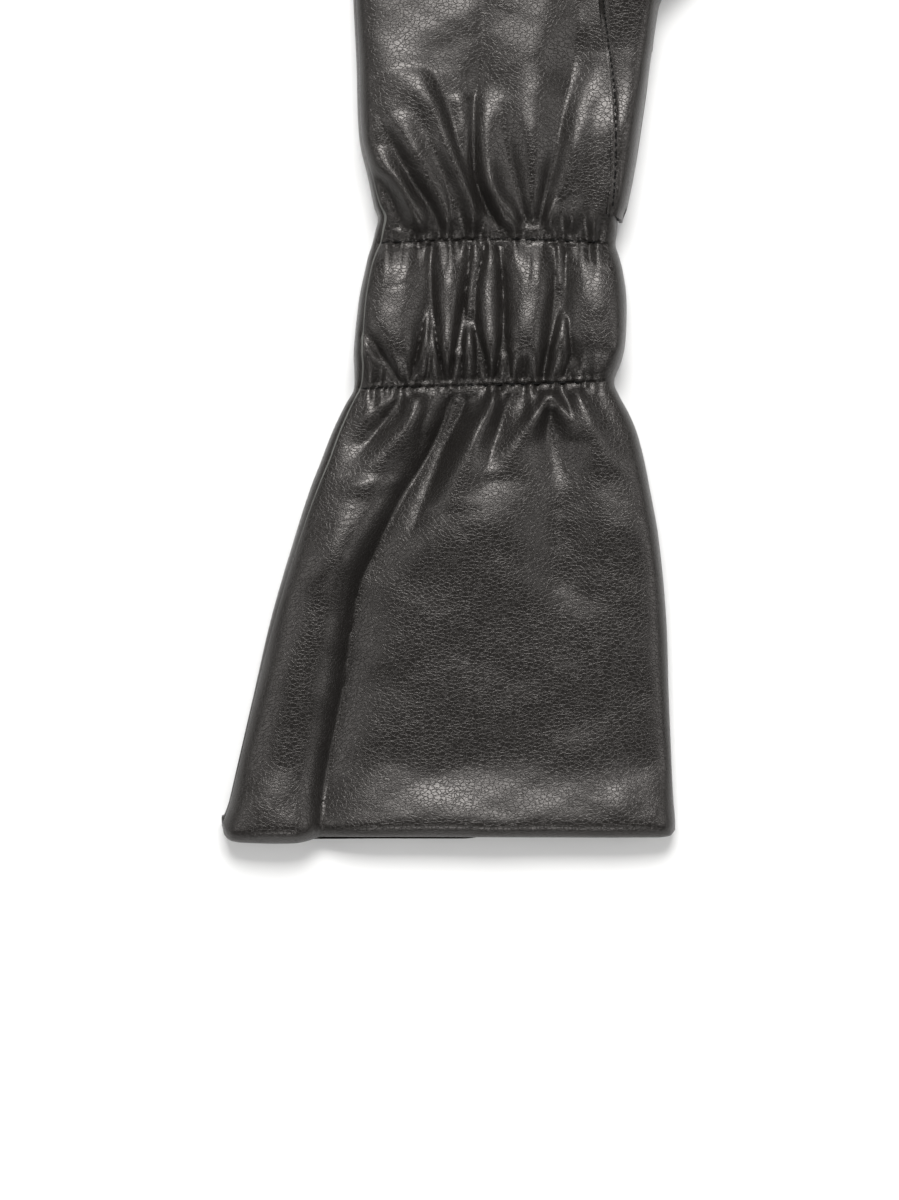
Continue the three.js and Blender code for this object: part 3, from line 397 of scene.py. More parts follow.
HAND_FOLDS = [
    # the roll that starts at the left side, and the hollow below it
    fold((175, -8.4, 2.4, 1.6, 2), (181.5, -10.6, 3, 1.6, 2.2), (186.4, -12.9, 3, 1.7, 2.2),
         (190.8, -15.8, 2.6, 1.8, 2.4), (193.7, -18.7, 2, 2, 2.4), (199.5, -23.5, 1, 2.2, 2.6)),
    fold((175, -13.5, -1.4, 2, 1.8), (181, -15.5, -2.6, 2.4, 2), (187, -18.2, -2.4, 2.4, 2),
         (193, -22.5, -1.4, 2)),
    fold((175, -2, -2.2, 1.6), (183.6, -6.2, -3, 1.8), (188.5, -10, -3.2, 1.9), (193.7, -12.9, -3.2, 2),
         (199.5, -15.8, -2.6, 2.2), (205.3, -18.7, -1.4, 2.2), (210.5, -21, -0.4, 2.2), crease=1.7),
    fold((174.5, -0.2, 2, 1.6), (183.6, -2.8, 2.5, 2), (189.3, -5.7, 2.5, 2.2), (195.1, -8.6, 2.2, 2.4),
         (200.9, -11.5, 1.5, 2.6), (209, -14.8, 0.4, 3)),
    fold((180, 0.6, -0.9, 0.8), (187.9, -0.4, -1.3, 0.9), (195.1, -2.8, -1, 0.9), (203, -6, 0, 1), crease=1.4),
    fold((175, 7.6, 2, 1.5), (181.5, 6.6, 2.8, 1.7, 1.6), (186.4, 5, 3.1, 1.8, 1.7), (192.2, 3, 3.1, 2, 1.8),
         (198, 0.7, 2.9, 2.2, 1.9), (203.8, -1.3, 2.6, 2.4, 2), (209.6, -3.3, 2.2, 2.8, 2.2),
         (215.4, -6.2, 1.6, 3.4, 2.6), (222, -10.4, 0.5, 4.5, 3.2)),
    fold((188, 6, -1.2, 1.4), (195.1, 3.9, -1.8, 1.8), (202.4, 1.8, -2, 2, 2.2), (209.6, -0.2, -2, 2.2, 2.6),
         (216.9, -2.8, -1.4, 2.6, 3), (226, -7.2, 0, 3), crease=1.7),
    fold((188, 6.4, 0.6, 1.2, 1), (196.6, 4.9, 1.2, 1.6, 1.2), (214, 3.4, 0.8, 2.4, 2)),
    fold((175, 15.2, -2.2, 1.2), (178.6, 13, -3.2, 1.3), (183.6, 10.2, -4, 1.4), (187.9, 8.3, -4, 1.5),
         (193.7, 7.2, -3.6, 1.6), (204, 7, -3, 1.7), (214, 7.2, -2.4, 1.9), (225.6, 9.2, -1.4, 2.2, 2.4),
         (246, 9.6, -0.7, 3), crease=1.6),
    fold((174.5, 17.6, 2, 1.4), (177.8, 16.1, 2.6, 1.6), (183.6, 13.8, 3.1, 1.8), (189.3, 11.7, 2.9, 1.9, 2),
         (196.6, 10.4, 2.2, 2, 2.4), (205.3, 9.8, 1.3, 2.2, 2.8), (214, 10.4, 0.4, 2.6, 3)),
    fold((174.5, 20.6, 0.7, 1.1), (180, 18.2, 1.1, 1.2), (186, 15.9, 0.3, 1.2)),
    fold((176, 23.2, -1.4, 1.6), (182.1, 21, -2.6, 2), (187.9, 19.6, -3, 2.4), (196.6, 17.5, -2.6, 2.6, 2.8),
         (205.3, 16.1, -1.6, 2.8, 3), (213, 14.6, -0.2, 3), crease=1.8),
    fold((180, 23.4, 1.2, 2), (190.8, 23.4, 1.9, 3.2), (205.3, 23, 1.8, 4), (216.9, 23.6, 1.5, 4.5),
         (246, 27.8, 1, 6, 5)),
    fold((176, 25.8, -1.2, 1.4), (180.6, 26.4, -2.4, 1.6), (186.4, 27.7, -3.1, 1.8, 2),
         (192.2, 29.1, -3.1, 2.2, 2.4), (199.5, 30.9, -2.8, 2.6, 3), (208.2, 32.6, -2.4, 3.2, 3.6),
         (216.9, 34.9, -2.2, 4, 4.2), (231.4, 37, -2.2, 5), (250, 38.5, -1.2, 6), crease=1.8),
    fold((186, 33.2, 0.8, 1.8), (193, 34.2, 1.4, 2.4), (208.2, 37, 1.6, 3), (216.9, 40, 1.4, 3.4),
         (227, 44.4, 0.4, 3.6)),
    fold((174.5, 28.7, 1.4, 1.1), (180, 28.9, 1.8, 1.2), (186, 30.4, 0.4, 1.2)),
    fold((174.5, 35.3, 1.4, 1.1), (180, 35.5, 1.7, 1.3), (188, 36.6, 0.4, 1.4)),
    fold((174.5, 41.7, 1.3, 1.2), (178, 41.9, 1.4, 1.3), (184, 43, 0.3, 1.4)),
]

print("folds of the cuff:", len(CUFF_FOLDS), "of the hand:", len(HAND_FOLDS))

# %% The puffs of the band between the two elastic rows
# Each puff is a pillow with its own left and right edge and a share of the band's full height. Where two meet,
# the higher one wins, which leaves a sharp crease.
def puff(*rows):
    """A puff's rows: y, left edge, right edge, and its share of the full height, 1 where none is given."""
    return table("y left right share", *((*row, 1) if len(row) == 3 else row for row in rows))


PUFFS = [
    puff((131, -13.9, -11, 0.9), (135.7, -16.9, -10.4), (140.9, -20.4, -9.4), (144.4, -23.6, -8.8),
         (150.2, -28.5, -7.6), (156, -29, -6.6), (168, -27, -6.4), (173, -24, -6.8, 0.9)),
    puff((130, -1.2, -0.2, 0.9), (135.7, -2.2, 0.6), (142.9, -3.5, 1.9), (150.2, -4.3, 3.2), (158.9, -5, 4.5),
         (167, -5.2, 5.3), (173, -5, 5.6, 0.9)),
    puff((131, 11.2, 12.6, 0.9), (135.7, 10.9, 13.6), (141.5, 9.6, 14.5), (147.3, 7.9, 15.2),
         (153.1, 7.2, 15.3), (160.3, 7.6, 15.1), (167, 9.3, 14.5), (173, 10.8, 13.9, 0.9)),
    puff((131, 18.4, 21.1, 0.85), (134, 17.4, 21.3, 0.92), (138.6, 16.8, 22.6, 0.97), (144, 16.3, 25, 0.95)),
    puff((131, 21.5, 25.8, 0.85), (134, 21.4, 26.4, 0.92), (138.6, 20.4, 27.3, 0.98), (144.4, 16.4, 28.4),
         (153.1, 16, 29.6), (161.8, 15.7, 30.5), (167, 15.5, 30.5), (173, 15.4, 30.2, 0.9)),
    puff((131, 38.5, 48.5, 0.8), (135, 36.5, 51.5, 0.92), (141, 35.5, 53.5, 0.97), (147.3, 33, 54.5),
         (156, 33.3, 54.5), (167, 33.6, 53), (173, 34, 51, 0.9)),
    # what shows between them
    puff((131, -11.4, -8, 0.7), (136, -10.4, -5.6, 0.72), (142, -8.8, -5.2, 0.62), (153, -6.7, -5.7, 0.3)),
    puff((131, -6.4, -1.4, 0.7), (136, -6.4, -2.2, 0.72), (142, -6.2, -3.4, 0.55), (152, -5.8, -4.8, 0.3)),
    puff((131, 3.6, 7.5, 0.9), (137, 3.6, 8, 0.86), (142, 3.7, 7.6, 0.7), (148, 4.2, 7.2, 0.4)),
    puff((131, 0.2, 3.5, 0.8), (135, 0.6, 3.6, 0.6), (142, 1.9, 3.8, 0.3)),
    puff((131, 8, 10.8, 0.8), (135, 8.1, 10.6, 0.55), (140, 8, 9.6, 0.3)),
    puff((131, 13.2, 18, 0.8), (136, 13.8, 17.2, 0.6), (141, 14.6, 16.6, 0.3)),
    puff((131, 26.6, 31.6, 0.7), (136, 28.4, 34.2, 0.85), (142, 29.2, 35.2, 0.88), (148, 30.6, 35, 0.7),
         (152, 31.6, 34.6, 0.5)),
    puff((131, 32, 37.8, 0.8), (135, 33.6, 37.4, 0.62), (139, 34.6, 36.6, 0.4)),
    puff((131, -29, -20.2, 0.7), (136, -29, -18.6, 0.66), (141, -29, -21, 0.6), (146, -29, -23.4, 0.5)),
    puff((131, -19.8, -14.4, 0.75), (135, -19.6, -16.6, 0.5), (139, -21, -19, 0.4)),
    puff((150, 4.6, 7.6, 0.2), (158, 4.9, 7.9, 0.3), (165, 5.8, 9, 0.35), (173, 6, 10.4, 0.75)),
    puff((158, 30.8, 33.4, 0.2), (166, 30.8, 33.4, 0.3), (173, 30.6, 33.8, 0.75)),
]
BAND_CREASES = [
    fold((160, -16, 0, 0.8), (164, -13.6, -0.7, 0.7), (172, -13, -1, 0.8), crease=1.3),
    fold((163, -1.4, 0, 0.7), (166, -1, -0.8, 0.7), (172, -0.4, -1.1, 0.8), crease=1.3),
    fold((159, 22.4, 0, 0.9), (163, 22.8, -0.8, 0.9), (172, 23.2, -1.3, 1.1), crease=1.3),
    fold((162, 47, 0, 0.8), (166, 41.6, -0.7, 0.8), (172, 39.4, -1.2, 1), crease=1.3),
    fold((158, -19, 0, 0.6), (160, -14, -0.35, 0.6), (162, -8.8, 0, 0.6), crease=1.5),
    fold((133, 51.5, 0.2, 1.6), (138, 47.4, 1.1, 1.4), (144, 50.6, 0.9, 1.5), (147, 52, 0, 1.5)),
]
CREASE_DEPTH = 4.0
PUFF_ROUNDNESS = 2.6
PUFF_END = 3.0  # half of the length over which a puff that ends inside the band dies away
PUFF_TOP = 1.04
UNION = 9  # the higher, the sharper the meeting of two puffs
GAP_DIP = 0.4  # a gap between two puffs sinks by this share more, to a dark bottom
NARROW_PUFF = (0.8, 3.2)  # a puff narrower than this sinks into the crease between its neighbours


def puff_share(x, y):
    """How much of the band's full height a point has: 1 on a puff, 0 at its edge, less in a gap between two."""
    total = 0
    for one in PUFFS:
        left, right = along(one, "left", y), along(one, "right", y)
        low, high = one["y"][0], one["y"][-1]
        ends = (1 - smoothstep(y, high - PUFF_END, high + PUFF_END)) if high < UPPER_ROW - PUFF_END else 1.0
        ends = ends * (smoothstep(y, low - PUFF_END, low + PUFF_END) if low > LOWER_ROW + PUFF_END else 1.0)
        across = (2 * x - left - right) / (right - left)
        pillow = 1 - np.abs(across) ** PUFF_ROUNDNESS
        full = along(one, "share", y) * ends * smoothstep(right - left, *NARROW_PUFF)
        share = np.where(pillow > 0, full * pillow, pillow) - GAP_DIP * (1 - ends)
        total = total + np.exp(UNION * np.maximum(share, -GAP_DIP))
    return np.minimum(np.log(total) / UNION, PUFF_TOP)


print("puffs:", len(PUFFS), "creases on them:", len(BAND_CREASES))

# %% The small gathers beside each elastic row
# The elastic puckers the leather at several sizes at once: the smaller the pucker, the nearer it stays to the
# row. Each size is a wave whose phase wanders and whose height is uneven, so that no two puckers are the same.
GATHERS = table(
    "pitch height reach",
    (1.9, 0.18, 1.6), (3.8, 0.62, 3.2), (6.1, 0.60, 6.5),
)
GATHERS_END = 24  # from the row
WANDER, SLOW_WANDER = (1.3, 2.3), (0.8, 5.1)  # of a wave's phase: how far, and over how many pitches
UNEVEN, UNEVEN_RUN = 0.3, 1.7  # the same of its height


def gathers(x, from_row, seed):
    total = 0
    for k, (pitch, height, reach) in enumerate(zip(*GATHERS.values())):
        wander = WANDER[0] * np.sin(x / (WANDER[1] * pitch) + seed + 2 * k)
        wander = wander + SLOW_WANDER[0] * np.sin(x / (SLOW_WANDER[1] * pitch) - seed * (k + 1))
        fade = np.exp(-np.abs(from_row) / reach)
        uneven = 1 - UNEVEN + UNEVEN * np.sin(x / (UNEVEN_RUN * pitch) + 3.1 * seed + k)
        total = total + height * fade * uneven * np.cos(2 * math.pi * x / pitch + wander)
    return total


print("gathers' pitches in mm:", GATHERS["pitch"].tolist())

# %% Broad and low forms of the leather
# How far the leather sinks before it folds round at its left and right side, and how wide that slope is.
SIDE_SLOPES = table(
    "y leftDrop leftWidth rightDrop rightWidth",
    (0, 2.0, 14, 2.2, 26), (100, 2.0, 14, 2.4, 26), (128, 0.8, 8, 1.0, 10), (150, 1.4, 9, 1.3, 12),
    (176, 0.8, 8, 1.0, 8), (195, 1.6, 14, 1.2, 16), (230, 2.6, 20, 1.6, 18), (260, 2.4, 20, 1.6, 18),
)

# Broad undulations, with the length of one wave along X and along Y.
UNDULATIONS = table(
    "height runX runY start",
    (0.35, 66, 34, 0.3), (0.20, 37, 19, 2.1), (0.06, 21, 11, 4.0), (0.02, 12, 5.5, 1.0),
)
# Soft swellings, and a small place of wrinkles on the roll.
MOUNDS = table(
    "x y runX runY height",
    (8, 91, 12, 11, 1.4), (-31, 80, 8, 9, 1.4), (-16, 210, 13, 15, 1.6), (26, 161, 6, 6, 0.5),
    (49, 8, 5, 7, 0.7), (58, 24, 9, 12, -0.6), (33, 84, 10, 18, -3.2), (40, 222, 12, 12, -3.4),
    (10, 212, 14, 14, -1.6), (52, 207, 6, 10, 1.4), (50, 183, 6, 9, 1.2), (46, 107, 11, 12, 1.4),
)
WAVER_X, WAVER_Y = (0.11, 17), (0.16, 23)  # how far the waves waver, and over how many mm

# Wrinkles one after the other: across the roll, and upright ones beside the pleat.
WRINKLES = table(
    "x y runX runY pitchX pitchY height",
    (-28, 93.5, 10, 5, 6.7, 2.0, 0.17), (-28, 40, 5, 34, 1.7, -11.6, 0.10),
)


def soft_relief(x, y):
    """Everything broad and low: undulations, swellings and the wrinkled place."""
    total = 0
    for height, run_x, run_y, start in zip(*UNDULATIONS.values()):
        wander_x = WAVER_X[0] * np.sin(y / WAVER_X[1] + start)
        wander_y = WAVER_Y[0] * np.sin(x / WAVER_Y[1] + 2 * start)
        waves = np.sin(2 * math.pi * (x / run_x + wander_x) + start)
        total = total + height * (waves * np.sin(2 * math.pi * (y / run_y + wander_y)))
    for mid_x, mid_y, run_x, run_y, height in zip(*MOUNDS.values()):
        total = total + height * bell(x - mid_x, run_x) * bell(y - mid_y, run_y)
    for mid_x, mid_y, run_x, run_y, pitch_x, pitch_y, height in zip(*WRINKLES.values()):
        line = x / pitch_x + y / pitch_y + 0.25 * np.sin(x / 1.9) + 0.3 * np.sin(y / 6.1)
        total = total + height * np.sin(2 * math.pi * line) * bell(x - mid_x, run_x) * bell(y - mid_y, run_y)
    return total


def side_sink(x, row, left, right):
    """How far the leather has sunk at its two sides."""
    from_left = np.clip(1 - (x - left) / along(SIDE_SLOPES, "leftWidth", row), 0, 1)
    from_right = np.clip(1 - (right - x) / along(SIDE_SLOPES, "rightWidth", row), 0, 1)
    sink = along(SIDE_SLOPES, "leftDrop", row) * from_left ** 2
    return sink + along(SIDE_SLOPES, "rightDrop", row) * from_right ** 2


print("swellings:", len(MOUNDS["x"]))

# %% Height of the front panel over any point
GROOVE_DEPTH, GROOVE_HALF = 0.6, 0.35  # of the groove that each elastic row draws into the leather
FOLD_SPREAD = 14  # the higher, the nearer to the glove's sides the folds reach
# how far the hem's edge turns down, within how much of its end, and how roundly
HEM_TURN, HEM_TURN_START, HEM_TURN_POWER = 1.9, 2.6, 1.2
ROW_CLEAR = 0.3  # beside an elastic row, folds and puffs leave this free
CUFF_FADE, BAND_FADE, HAND_FADE = 5, 2, 5.5  # and are whole this far from it
CUFF_SIDE_SEED, HAND_SIDE_SEED = 1.3, 2.2  # on the hand's side of a row the gathers fall another way
FINGER_SQUARENESS = 2.5


def band_relief(x, y, row):
    """The creases between the band's puffs, and the little creases on the puffs."""
    between = smoothstep(row, LOWER_ROW + ROW_CLEAR, LOWER_ROW + BAND_FADE)
    between = between * (1 - smoothstep(row, UPPER_ROW - BAND_FADE, UPPER_ROW - ROW_CLEAR))
    t = np.clip((row - LOWER_ROW) / (UPPER_ROW - LOWER_ROW), 0, 1)
    depth = CREASE_DEPTH * np.sqrt(np.sin(math.pi * t)) * between
    return between * folds_rise(BAND_CREASES, x, y) - depth * (1 - puff_share(x, y))


def row_relief(x, row):
    """The groove and the gathers of both elastic rows."""
    total = 0
    for k, line in enumerate((LOWER_ROW, UPPER_ROW)):
        seed = CUFF_SIDE_SEED * np.where(row < line, 1.0, HAND_SIDE_SEED) + 3 * k
        total = total - GROOVE_DEPTH * bell(row - line, GROOVE_HALF)
        total = total + np.where(np.abs(row - line) < GATHERS_END, gathers(x, row - line, seed), 0)
    return total


def finger_across(x):
    """Which finger X belongs to, and how far across it, from -1 to 1."""
    index = np.clip(np.searchsorted(FINGERS["right"], x, side="left"), 0, 3)
    left, right = FINGERS["left"][index], FINGERS["right"][index]
    return index, (2 * x - left - right) / (right - left)


def top_height(x, row):
    """Height of the front panel's outer side over the plan, in the pattern's own millimetres."""
    x, row = np.broadcast_arrays(np.asarray(x, float), np.asarray(row, float))
    y = row_y(x, row)
    middle, half = span_at(row)
    across = np.clip((x - middle) / half, -1, 1)
    crown = along(CROWN, "height", row) - SIDE_HEIGHT
    crown = crown - HEM_TURN * np.clip(1 - row / HEM_TURN_START, 0, 1) ** HEM_TURN_POWER
    rise = crown - side_sink(x, row, middle - half, middle + half)
    rise = rise * arch(across, along(SIDE_SQUARENESS, "power", row))
    below = 1 - smoothstep(row, LOWER_ROW - CUFF_FADE, LOWER_ROW - ROW_CLEAR)
    above = smoothstep(row, UPPER_ROW + ROW_CLEAR, UPPER_ROW + HAND_FADE)
    folds = below * folds_rise(CUFF_FOLDS, x, y) + above * folds_rise(HAND_FOLDS, x, y)
    folds = folds + band_relief(x, y, row) + row_relief(x, row) + soft_relief(x, y)
    palm = np.maximum(rise + folds * (1 - np.abs(across) ** FOLD_SPREAD), 0)
    index, over = finger_across(x)
    fingers = (FINGERS["crown"][index] - SIDE_HEIGHT) * arch(over, FINGER_SQUARENESS)
    return SIDE_HEIGHT + lerp(palm, fingers, web_share(row))


sample = top_height(np.array([20.0]), np.array([150.0]))
print("height of the wrist's fourth puff in mm:", round(float(sample[0]), 1))

# %% Height of the rear panel's outer side, which rests on the table
REAR_FOLDS = table(
    "x0 y0 x1 y1 half height end",
    (-8, 172, -8, 133, 3, 2.1, 2.1), (6, 172, 7, 133, 3, 2.3, 2.3),
    (20, 172, 19, 133, 3, 2.3, 2.3), (34, 172, 33, 133, 3, 2.1, 2.1),
    (4, 129, -8, 96, 4, 2.6, 0), (28, 129, 33, 100, 4, 2.4, 0),
    (4, 176, -4, 205, 3.6, 2.6, 0), (26, 176, 30, 208, 3.6, 2.4, 0),
)
REAR_GATHER = 0.45  # of the gathers on the side that shows
REAR_GATHER_REACH = 14
REAR_SEED, REAR_SWELL = 4.1, 0.6  # the gathers are lifted by this much, so that ridges are wider than valleys
REAR_ROW_REACH = 5  # how far each elastic row lifts the leather off the table
PALM_FLATNESS, FINGER_FLATNESS = 8, 3


def straight_fold(x, row, x0, y0, x1, y1, half, height, end):
    run_x, run_y = x1 - x0, y1 - y0
    length = math.hypot(run_x, run_y)
    t = ((x - x0) * run_x + (row - y0) * run_y) / length ** 2
    across = ((x - x0) * run_y - (row - y0) * run_x) / length
    reach = half / length
    ends = smoothstep(t, -reach, reach) * (1 - smoothstep(t, 1 - reach, 1 + reach))
    return lerp(height, end, np.clip(t, 0, 1)) * ends * bell(across, half)


def under_height(x, row):
    """Height of the rear panel's outer side over the plan."""
    x, row = np.broadcast_arrays(np.asarray(x, float), np.asarray(row, float))
    middle, half = span_at(row)
    across = np.clip((x - middle) / half, -1, 1)
    lift = sum(straight_fold(x, row, *fold_row) for fold_row in zip(*REAR_FOLDS.values()))
    for k, line in enumerate((LOWER_ROW, UPPER_ROW)):
        pucker = np.maximum(gathers(x, row - line, REAR_SEED + 2 * k) + REAR_SWELL, 0)
        pucker = pucker * bell(row - line, REAR_GATHER_REACH)
        lift = lift + bell(row - line, REAR_ROW_REACH)
        lift = lift + np.where(np.abs(row - line) < GATHERS_END, REAR_GATHER * pucker, 0)
    palm = np.maximum(SIDE_HEIGHT - lift, 0) * pressed(across, PALM_FLATNESS)
    fingers = SIDE_HEIGHT * pressed(finger_across(x)[1], FINGER_FLATNESS)
    return SIDE_HEIGHT - lerp(palm, fingers, web_share(row))


print("folds of the rear panel:", len(REAR_FOLDS["x0"]))

# %% [markdown]
# ## Making one leather
# A leather is first made as an open surface, its grain side, from rows of points. Its flesh side is the same
# surface moved inwards by the leather's thickness, with only every second point, because it is seldom seen.
# The cut edges join the two. A Solidify modifier does this too, but it can't thin the wall to a rounded hem
# or leave points out.

# %% One leather from rows of points
GRAIN_SIDE, FLESH_SIDE, CUT_EDGE, TURNED_HEM = 0, 1, 2, 3  # material slots
SHARP_ANGLE = math.radians(62)


class Leather:
    def __init__(self):
        self.points = np.zeros((0, 3))
        self.fine, self.coarse = [], []
        self.seams = {}

    def add(self, points):
        """Adds points in any shape of array and returns their numbers in the same shape."""
        first = len(self.points)
        self.points = np.vstack([self.points, points.reshape(-1, 3)])
        return np.arange(first, len(self.points)).reshape(points.shape[:-1])

    def cover(self, numbers, wanted=True):
        """Faces over a grid of point numbers; wanted says which squares of 2 x 2 faces exist."""
        squares = (numbers.shape[0] - 1) // 2, (numbers.shape[1] - 1) // 2
        r, c = np.nonzero(np.broadcast_to(wanted, squares))

        def corners(*places):
            return np.stack([numbers[2 * r + i, 2 * c + j] for i, j in places], axis=1)

        for i, j in ((0, 0), (0, 1), (1, 0), (1, 1)):
            self.fine.append(corners((i, j), (i, j + 1), (i + 1, j + 1), (i + 1, j)))
        # of a big square, each corner and the middle of the side that starts there
        self.coarse.append(np.stack([corners((0, 0), (0, 2), (2, 2), (2, 0)),
                                     corners((0, 1), (1, 2), (2, 1), (1, 0))], axis=2))

    def seam(self, numbers, direction):
        """The direction out through the leather at points whose wall must not lean."""
        directions = np.broadcast_to(direction, np.shape(numbers) + (3,)).reshape(-1, 3)
        for number, one in zip(np.ravel(numbers), directions):
            self.seams[int(number)] = one

    def smooth_normals(self, faces, rounds=6):
        """The direction out of the surface at each point, evened out over its neighbours."""
        corners = self.points[faces]
        square = np.cross(corners[:, 2] - corners[:, 0], corners[:, 3] - corners[:, 1])
        normals = self.gather(faces, np.repeat(square[:, None], 4, axis=1))
        for _ in range(rounds):
            unit = normals / np.maximum(np.linalg.norm(normals, axis=1, keepdims=True), 1e-9)
            mean = unit[faces].mean(axis=1)
            normals = self.gather(faces, np.repeat(mean[:, None], 4, axis=1))
        return normals / np.maximum(np.linalg.norm(normals, axis=1, keepdims=True), 1e-9)

    def gather(self, faces, values):
        """For each point, the sum of the values of its faces."""
        sums = [np.bincount(faces.ravel(), values[..., axis].ravel(), len(self.points)) for axis in range(3)]
        return np.stack(sums, axis=1)

    def finish(self, name, wall_at, hem_depth=0.0):
        """Adds the flesh side and the cut edges, and makes the object."""
        fine, coarse = np.vstack(self.fine), np.vstack(self.coarse)
        outwards = self.smooth_normals(fine)
        for number, direction in self.seams.items():
            outwards[number] = direction / np.linalg.norm(direction)
        used = np.unique(coarse[:, :, 0])
        inner_of = np.full(len(self.points), -1)
        inner_of[used] = len(self.points) + np.arange(len(used))
        inner = self.points[used] - outwards[used] * wall_at(self.points[used])[:, None]
        points = np.vstack([self.points, inner])
        inside = inner_of[coarse[:, ::-1, 0]]
        edges = {}
        for corners in coarse:
            for k in range(4):
                start, end, middle = int(corners[k, 0]), int(corners[(k + 1) % 4, 0]), int(corners[k, 1])
                if edges.pop((end, start), None) is None:
                    edges[(start, end)] = middle
        rims = [(end, middle, start, int(inner_of[start]), int(inner_of[end]))
                for (start, end), middle in edges.items()]
        faces = fine.tolist() + inside.tolist() + rims
        kept = np.unique(np.concatenate([fine.ravel(), inside.ravel()]))
        new_number = np.zeros(len(points), int)
        new_number[kept] = np.arange(len(kept))
        points = points[kept]
        faces = [[int(new_number[k]) for k in face] for face in faces]
        slots = np.full(len(faces), GRAIN_SIDE)
        slots[len(fine):len(fine) + len(inside)] = FLESH_SIDE
        depth = self.points[coarse[:, :, 0]][:, :, 1].max(axis=1)
        slots[len(fine):len(fine) + len(inside)][depth < hem_depth] = TURNED_HEM
        slots[len(fine) + len(inside):] = CUT_EDGE
        mesh = bpy.data.meshes.new(name)
        mesh.from_pydata(((points + ORIGIN) * MM).tolist(), [], faces)
        mesh.polygons.foreach_set("material_index", slots)
        mesh.polygons.foreach_set("use_smooth", np.ones(len(faces), bool))
        mesh.update()
        mesh.set_sharp_from_angle(angle=SHARP_ANGLE)
        print(name, "triangles:", sum(len(face) - 2 for face in faces))
        return place(name, mesh)


# %% Rows and columns: close together where the leather is drawn in
def stops(*stretches):
    """Places along a line: each stretch is (start, number of steps); the last one is only an end."""
    parts = [np.linspace(a, b, n, endpoint=False) for (a, n), (b, _) in zip(stretches, stretches[1:])]
    return np.append(np.concatenate(parts), stretches[-1][0])


HEM_ROUND = HEM_WALL / 2
HEM_ROWS = HEM_ROUND * (1 - np.cos(np.linspace(0, math.pi / 2, 8, endpoint=False)))
FRONT_ROWS = np.append(HEM_ROWS, stops(
    (HEM_ROUND, 16), (15, 112), (118, 16), (127.6, 20), (135, 50), (170, 22), (178, 70), (HOLE_FROM, 46),
    (HOLE_TO, 26), (KNUCKLE_ROW, 0)))
REAR_ROWS = np.append(HEM_ROWS, stops(
    (HEM_ROUND, 14), (15, 74), (118, 10), (127.6, 14), (135, 32), (170, 16), (178, 44), (HOLE_FROM, 30),
    (HOLE_TO, 20), (KNUCKLE_ROW, 0)))
FRONT_STEPS, REAR_STEPS, SIDE_STEPS = 184, 120, 8
ROW_SLACK = 0.01  # so that a row that lies just on a limit counts
HEM_END_SHARE = 0.06  # of the hem's thickness that is left at its round edge
FRONT_EDGE, REAR_EDGE = (4, 1.5), (5, 1.8)  # width of the crowded columns at the left, and how crowded they are
TURN_CROWDING = 1.8  # of the columns where the right side turns down
print("rows:", len(FRONT_ROWS), len(REAR_ROWS))


def hem_drop(row):
    """How far the rounded hem has turned down from the surface, 0 past the rounding."""
    run = np.clip(1 - row / HEM_ROUND, 0, 1)
    return HEM_ROUND * (1 - np.sqrt(1 - run ** 2))


def wall_at(points):
    """The leather's thickness: turned under at the hem, with a round edge."""
    x, y = points[:, 0], points[:, 1]
    y = y - along(HEM_EDGE, "lift", x, "x") * (1 - smoothstep(y, 0, HEM_EDGE_REACH))
    run = np.clip(1 - np.maximum(y, 0) / HEM_ROUND, 0, 1)
    return np.where(y < HEM_DEPTH, HEM_WALL * np.maximum(np.sqrt(1 - run ** 2), HEM_END_SHARE), LEATHER)


def hole_edge(row):
    """X of the thumb's opening, and past its two ends a line that carries on from it."""
    return along(THUMB, "leftX", np.interp(row, THUMB["leftY"], THUMB["row"]), "row")


def crowded(steps):
    """Places from -1 to 1, closer together at both ends, for a surface that turns down there."""
    return np.sin((2 * np.arange(steps + 1) / steps - 1) * SPACING_ARC) / math.sin(SPACING_ARC)


def finger_x(steps):
    """X of the columns where the palm becomes four fingers."""
    places = crowded(steps // 4)
    out = [0.5 * (l + r) + 0.5 * (r - l) * places for l, r in zip(FINGERS["left"], FINGERS["right"])]
    return np.concatenate([one[:-1] for one in out] + [out[-1][-1:]])


def palm_columns(left, line, right, steps, edge, crowding):
    """X of the columns: crowded at the left edge, even up to the thumb's line, turning down at the right."""
    near = edge * (np.arange(SIDE_STEPS) / SIDE_STEPS) ** crowding
    even = np.arange(steps - 2 * SIDE_STEPS) / (steps - 2 * SIDE_STEPS)
    turn = 1 - (1 - np.arange(SIDE_STEPS + 1) / SIDE_STEPS) ** TURN_CROWDING
    return np.hstack([left + near, left + edge + (line - left - edge) * even, line + (right - line) * turn])


# %% [markdown]
# ## Fingers
# The picture's edge hides the fingers, so they are plain ones of an ordinary length. Each is grown from its
# quarter of the knuckle row, as half of a rounded tube that tapers and closes at the tip.

# %% Half of a finger, from its knuckles to its tip
FINGER_ROOT_REACH = 14.0
TIP_ROUND = 11.0
TIP_END_WIDTH = 1.6
SHAFT_SHARE = 0.8  # of a finger, which is straight
SHARES = np.append(np.linspace(0, SHAFT_SHARE, 22, endpoint=False),
                   SHAFT_SHARE + (1 - SHAFT_SHARE) * np.sin(np.linspace(0, math.pi / 2, 13)))


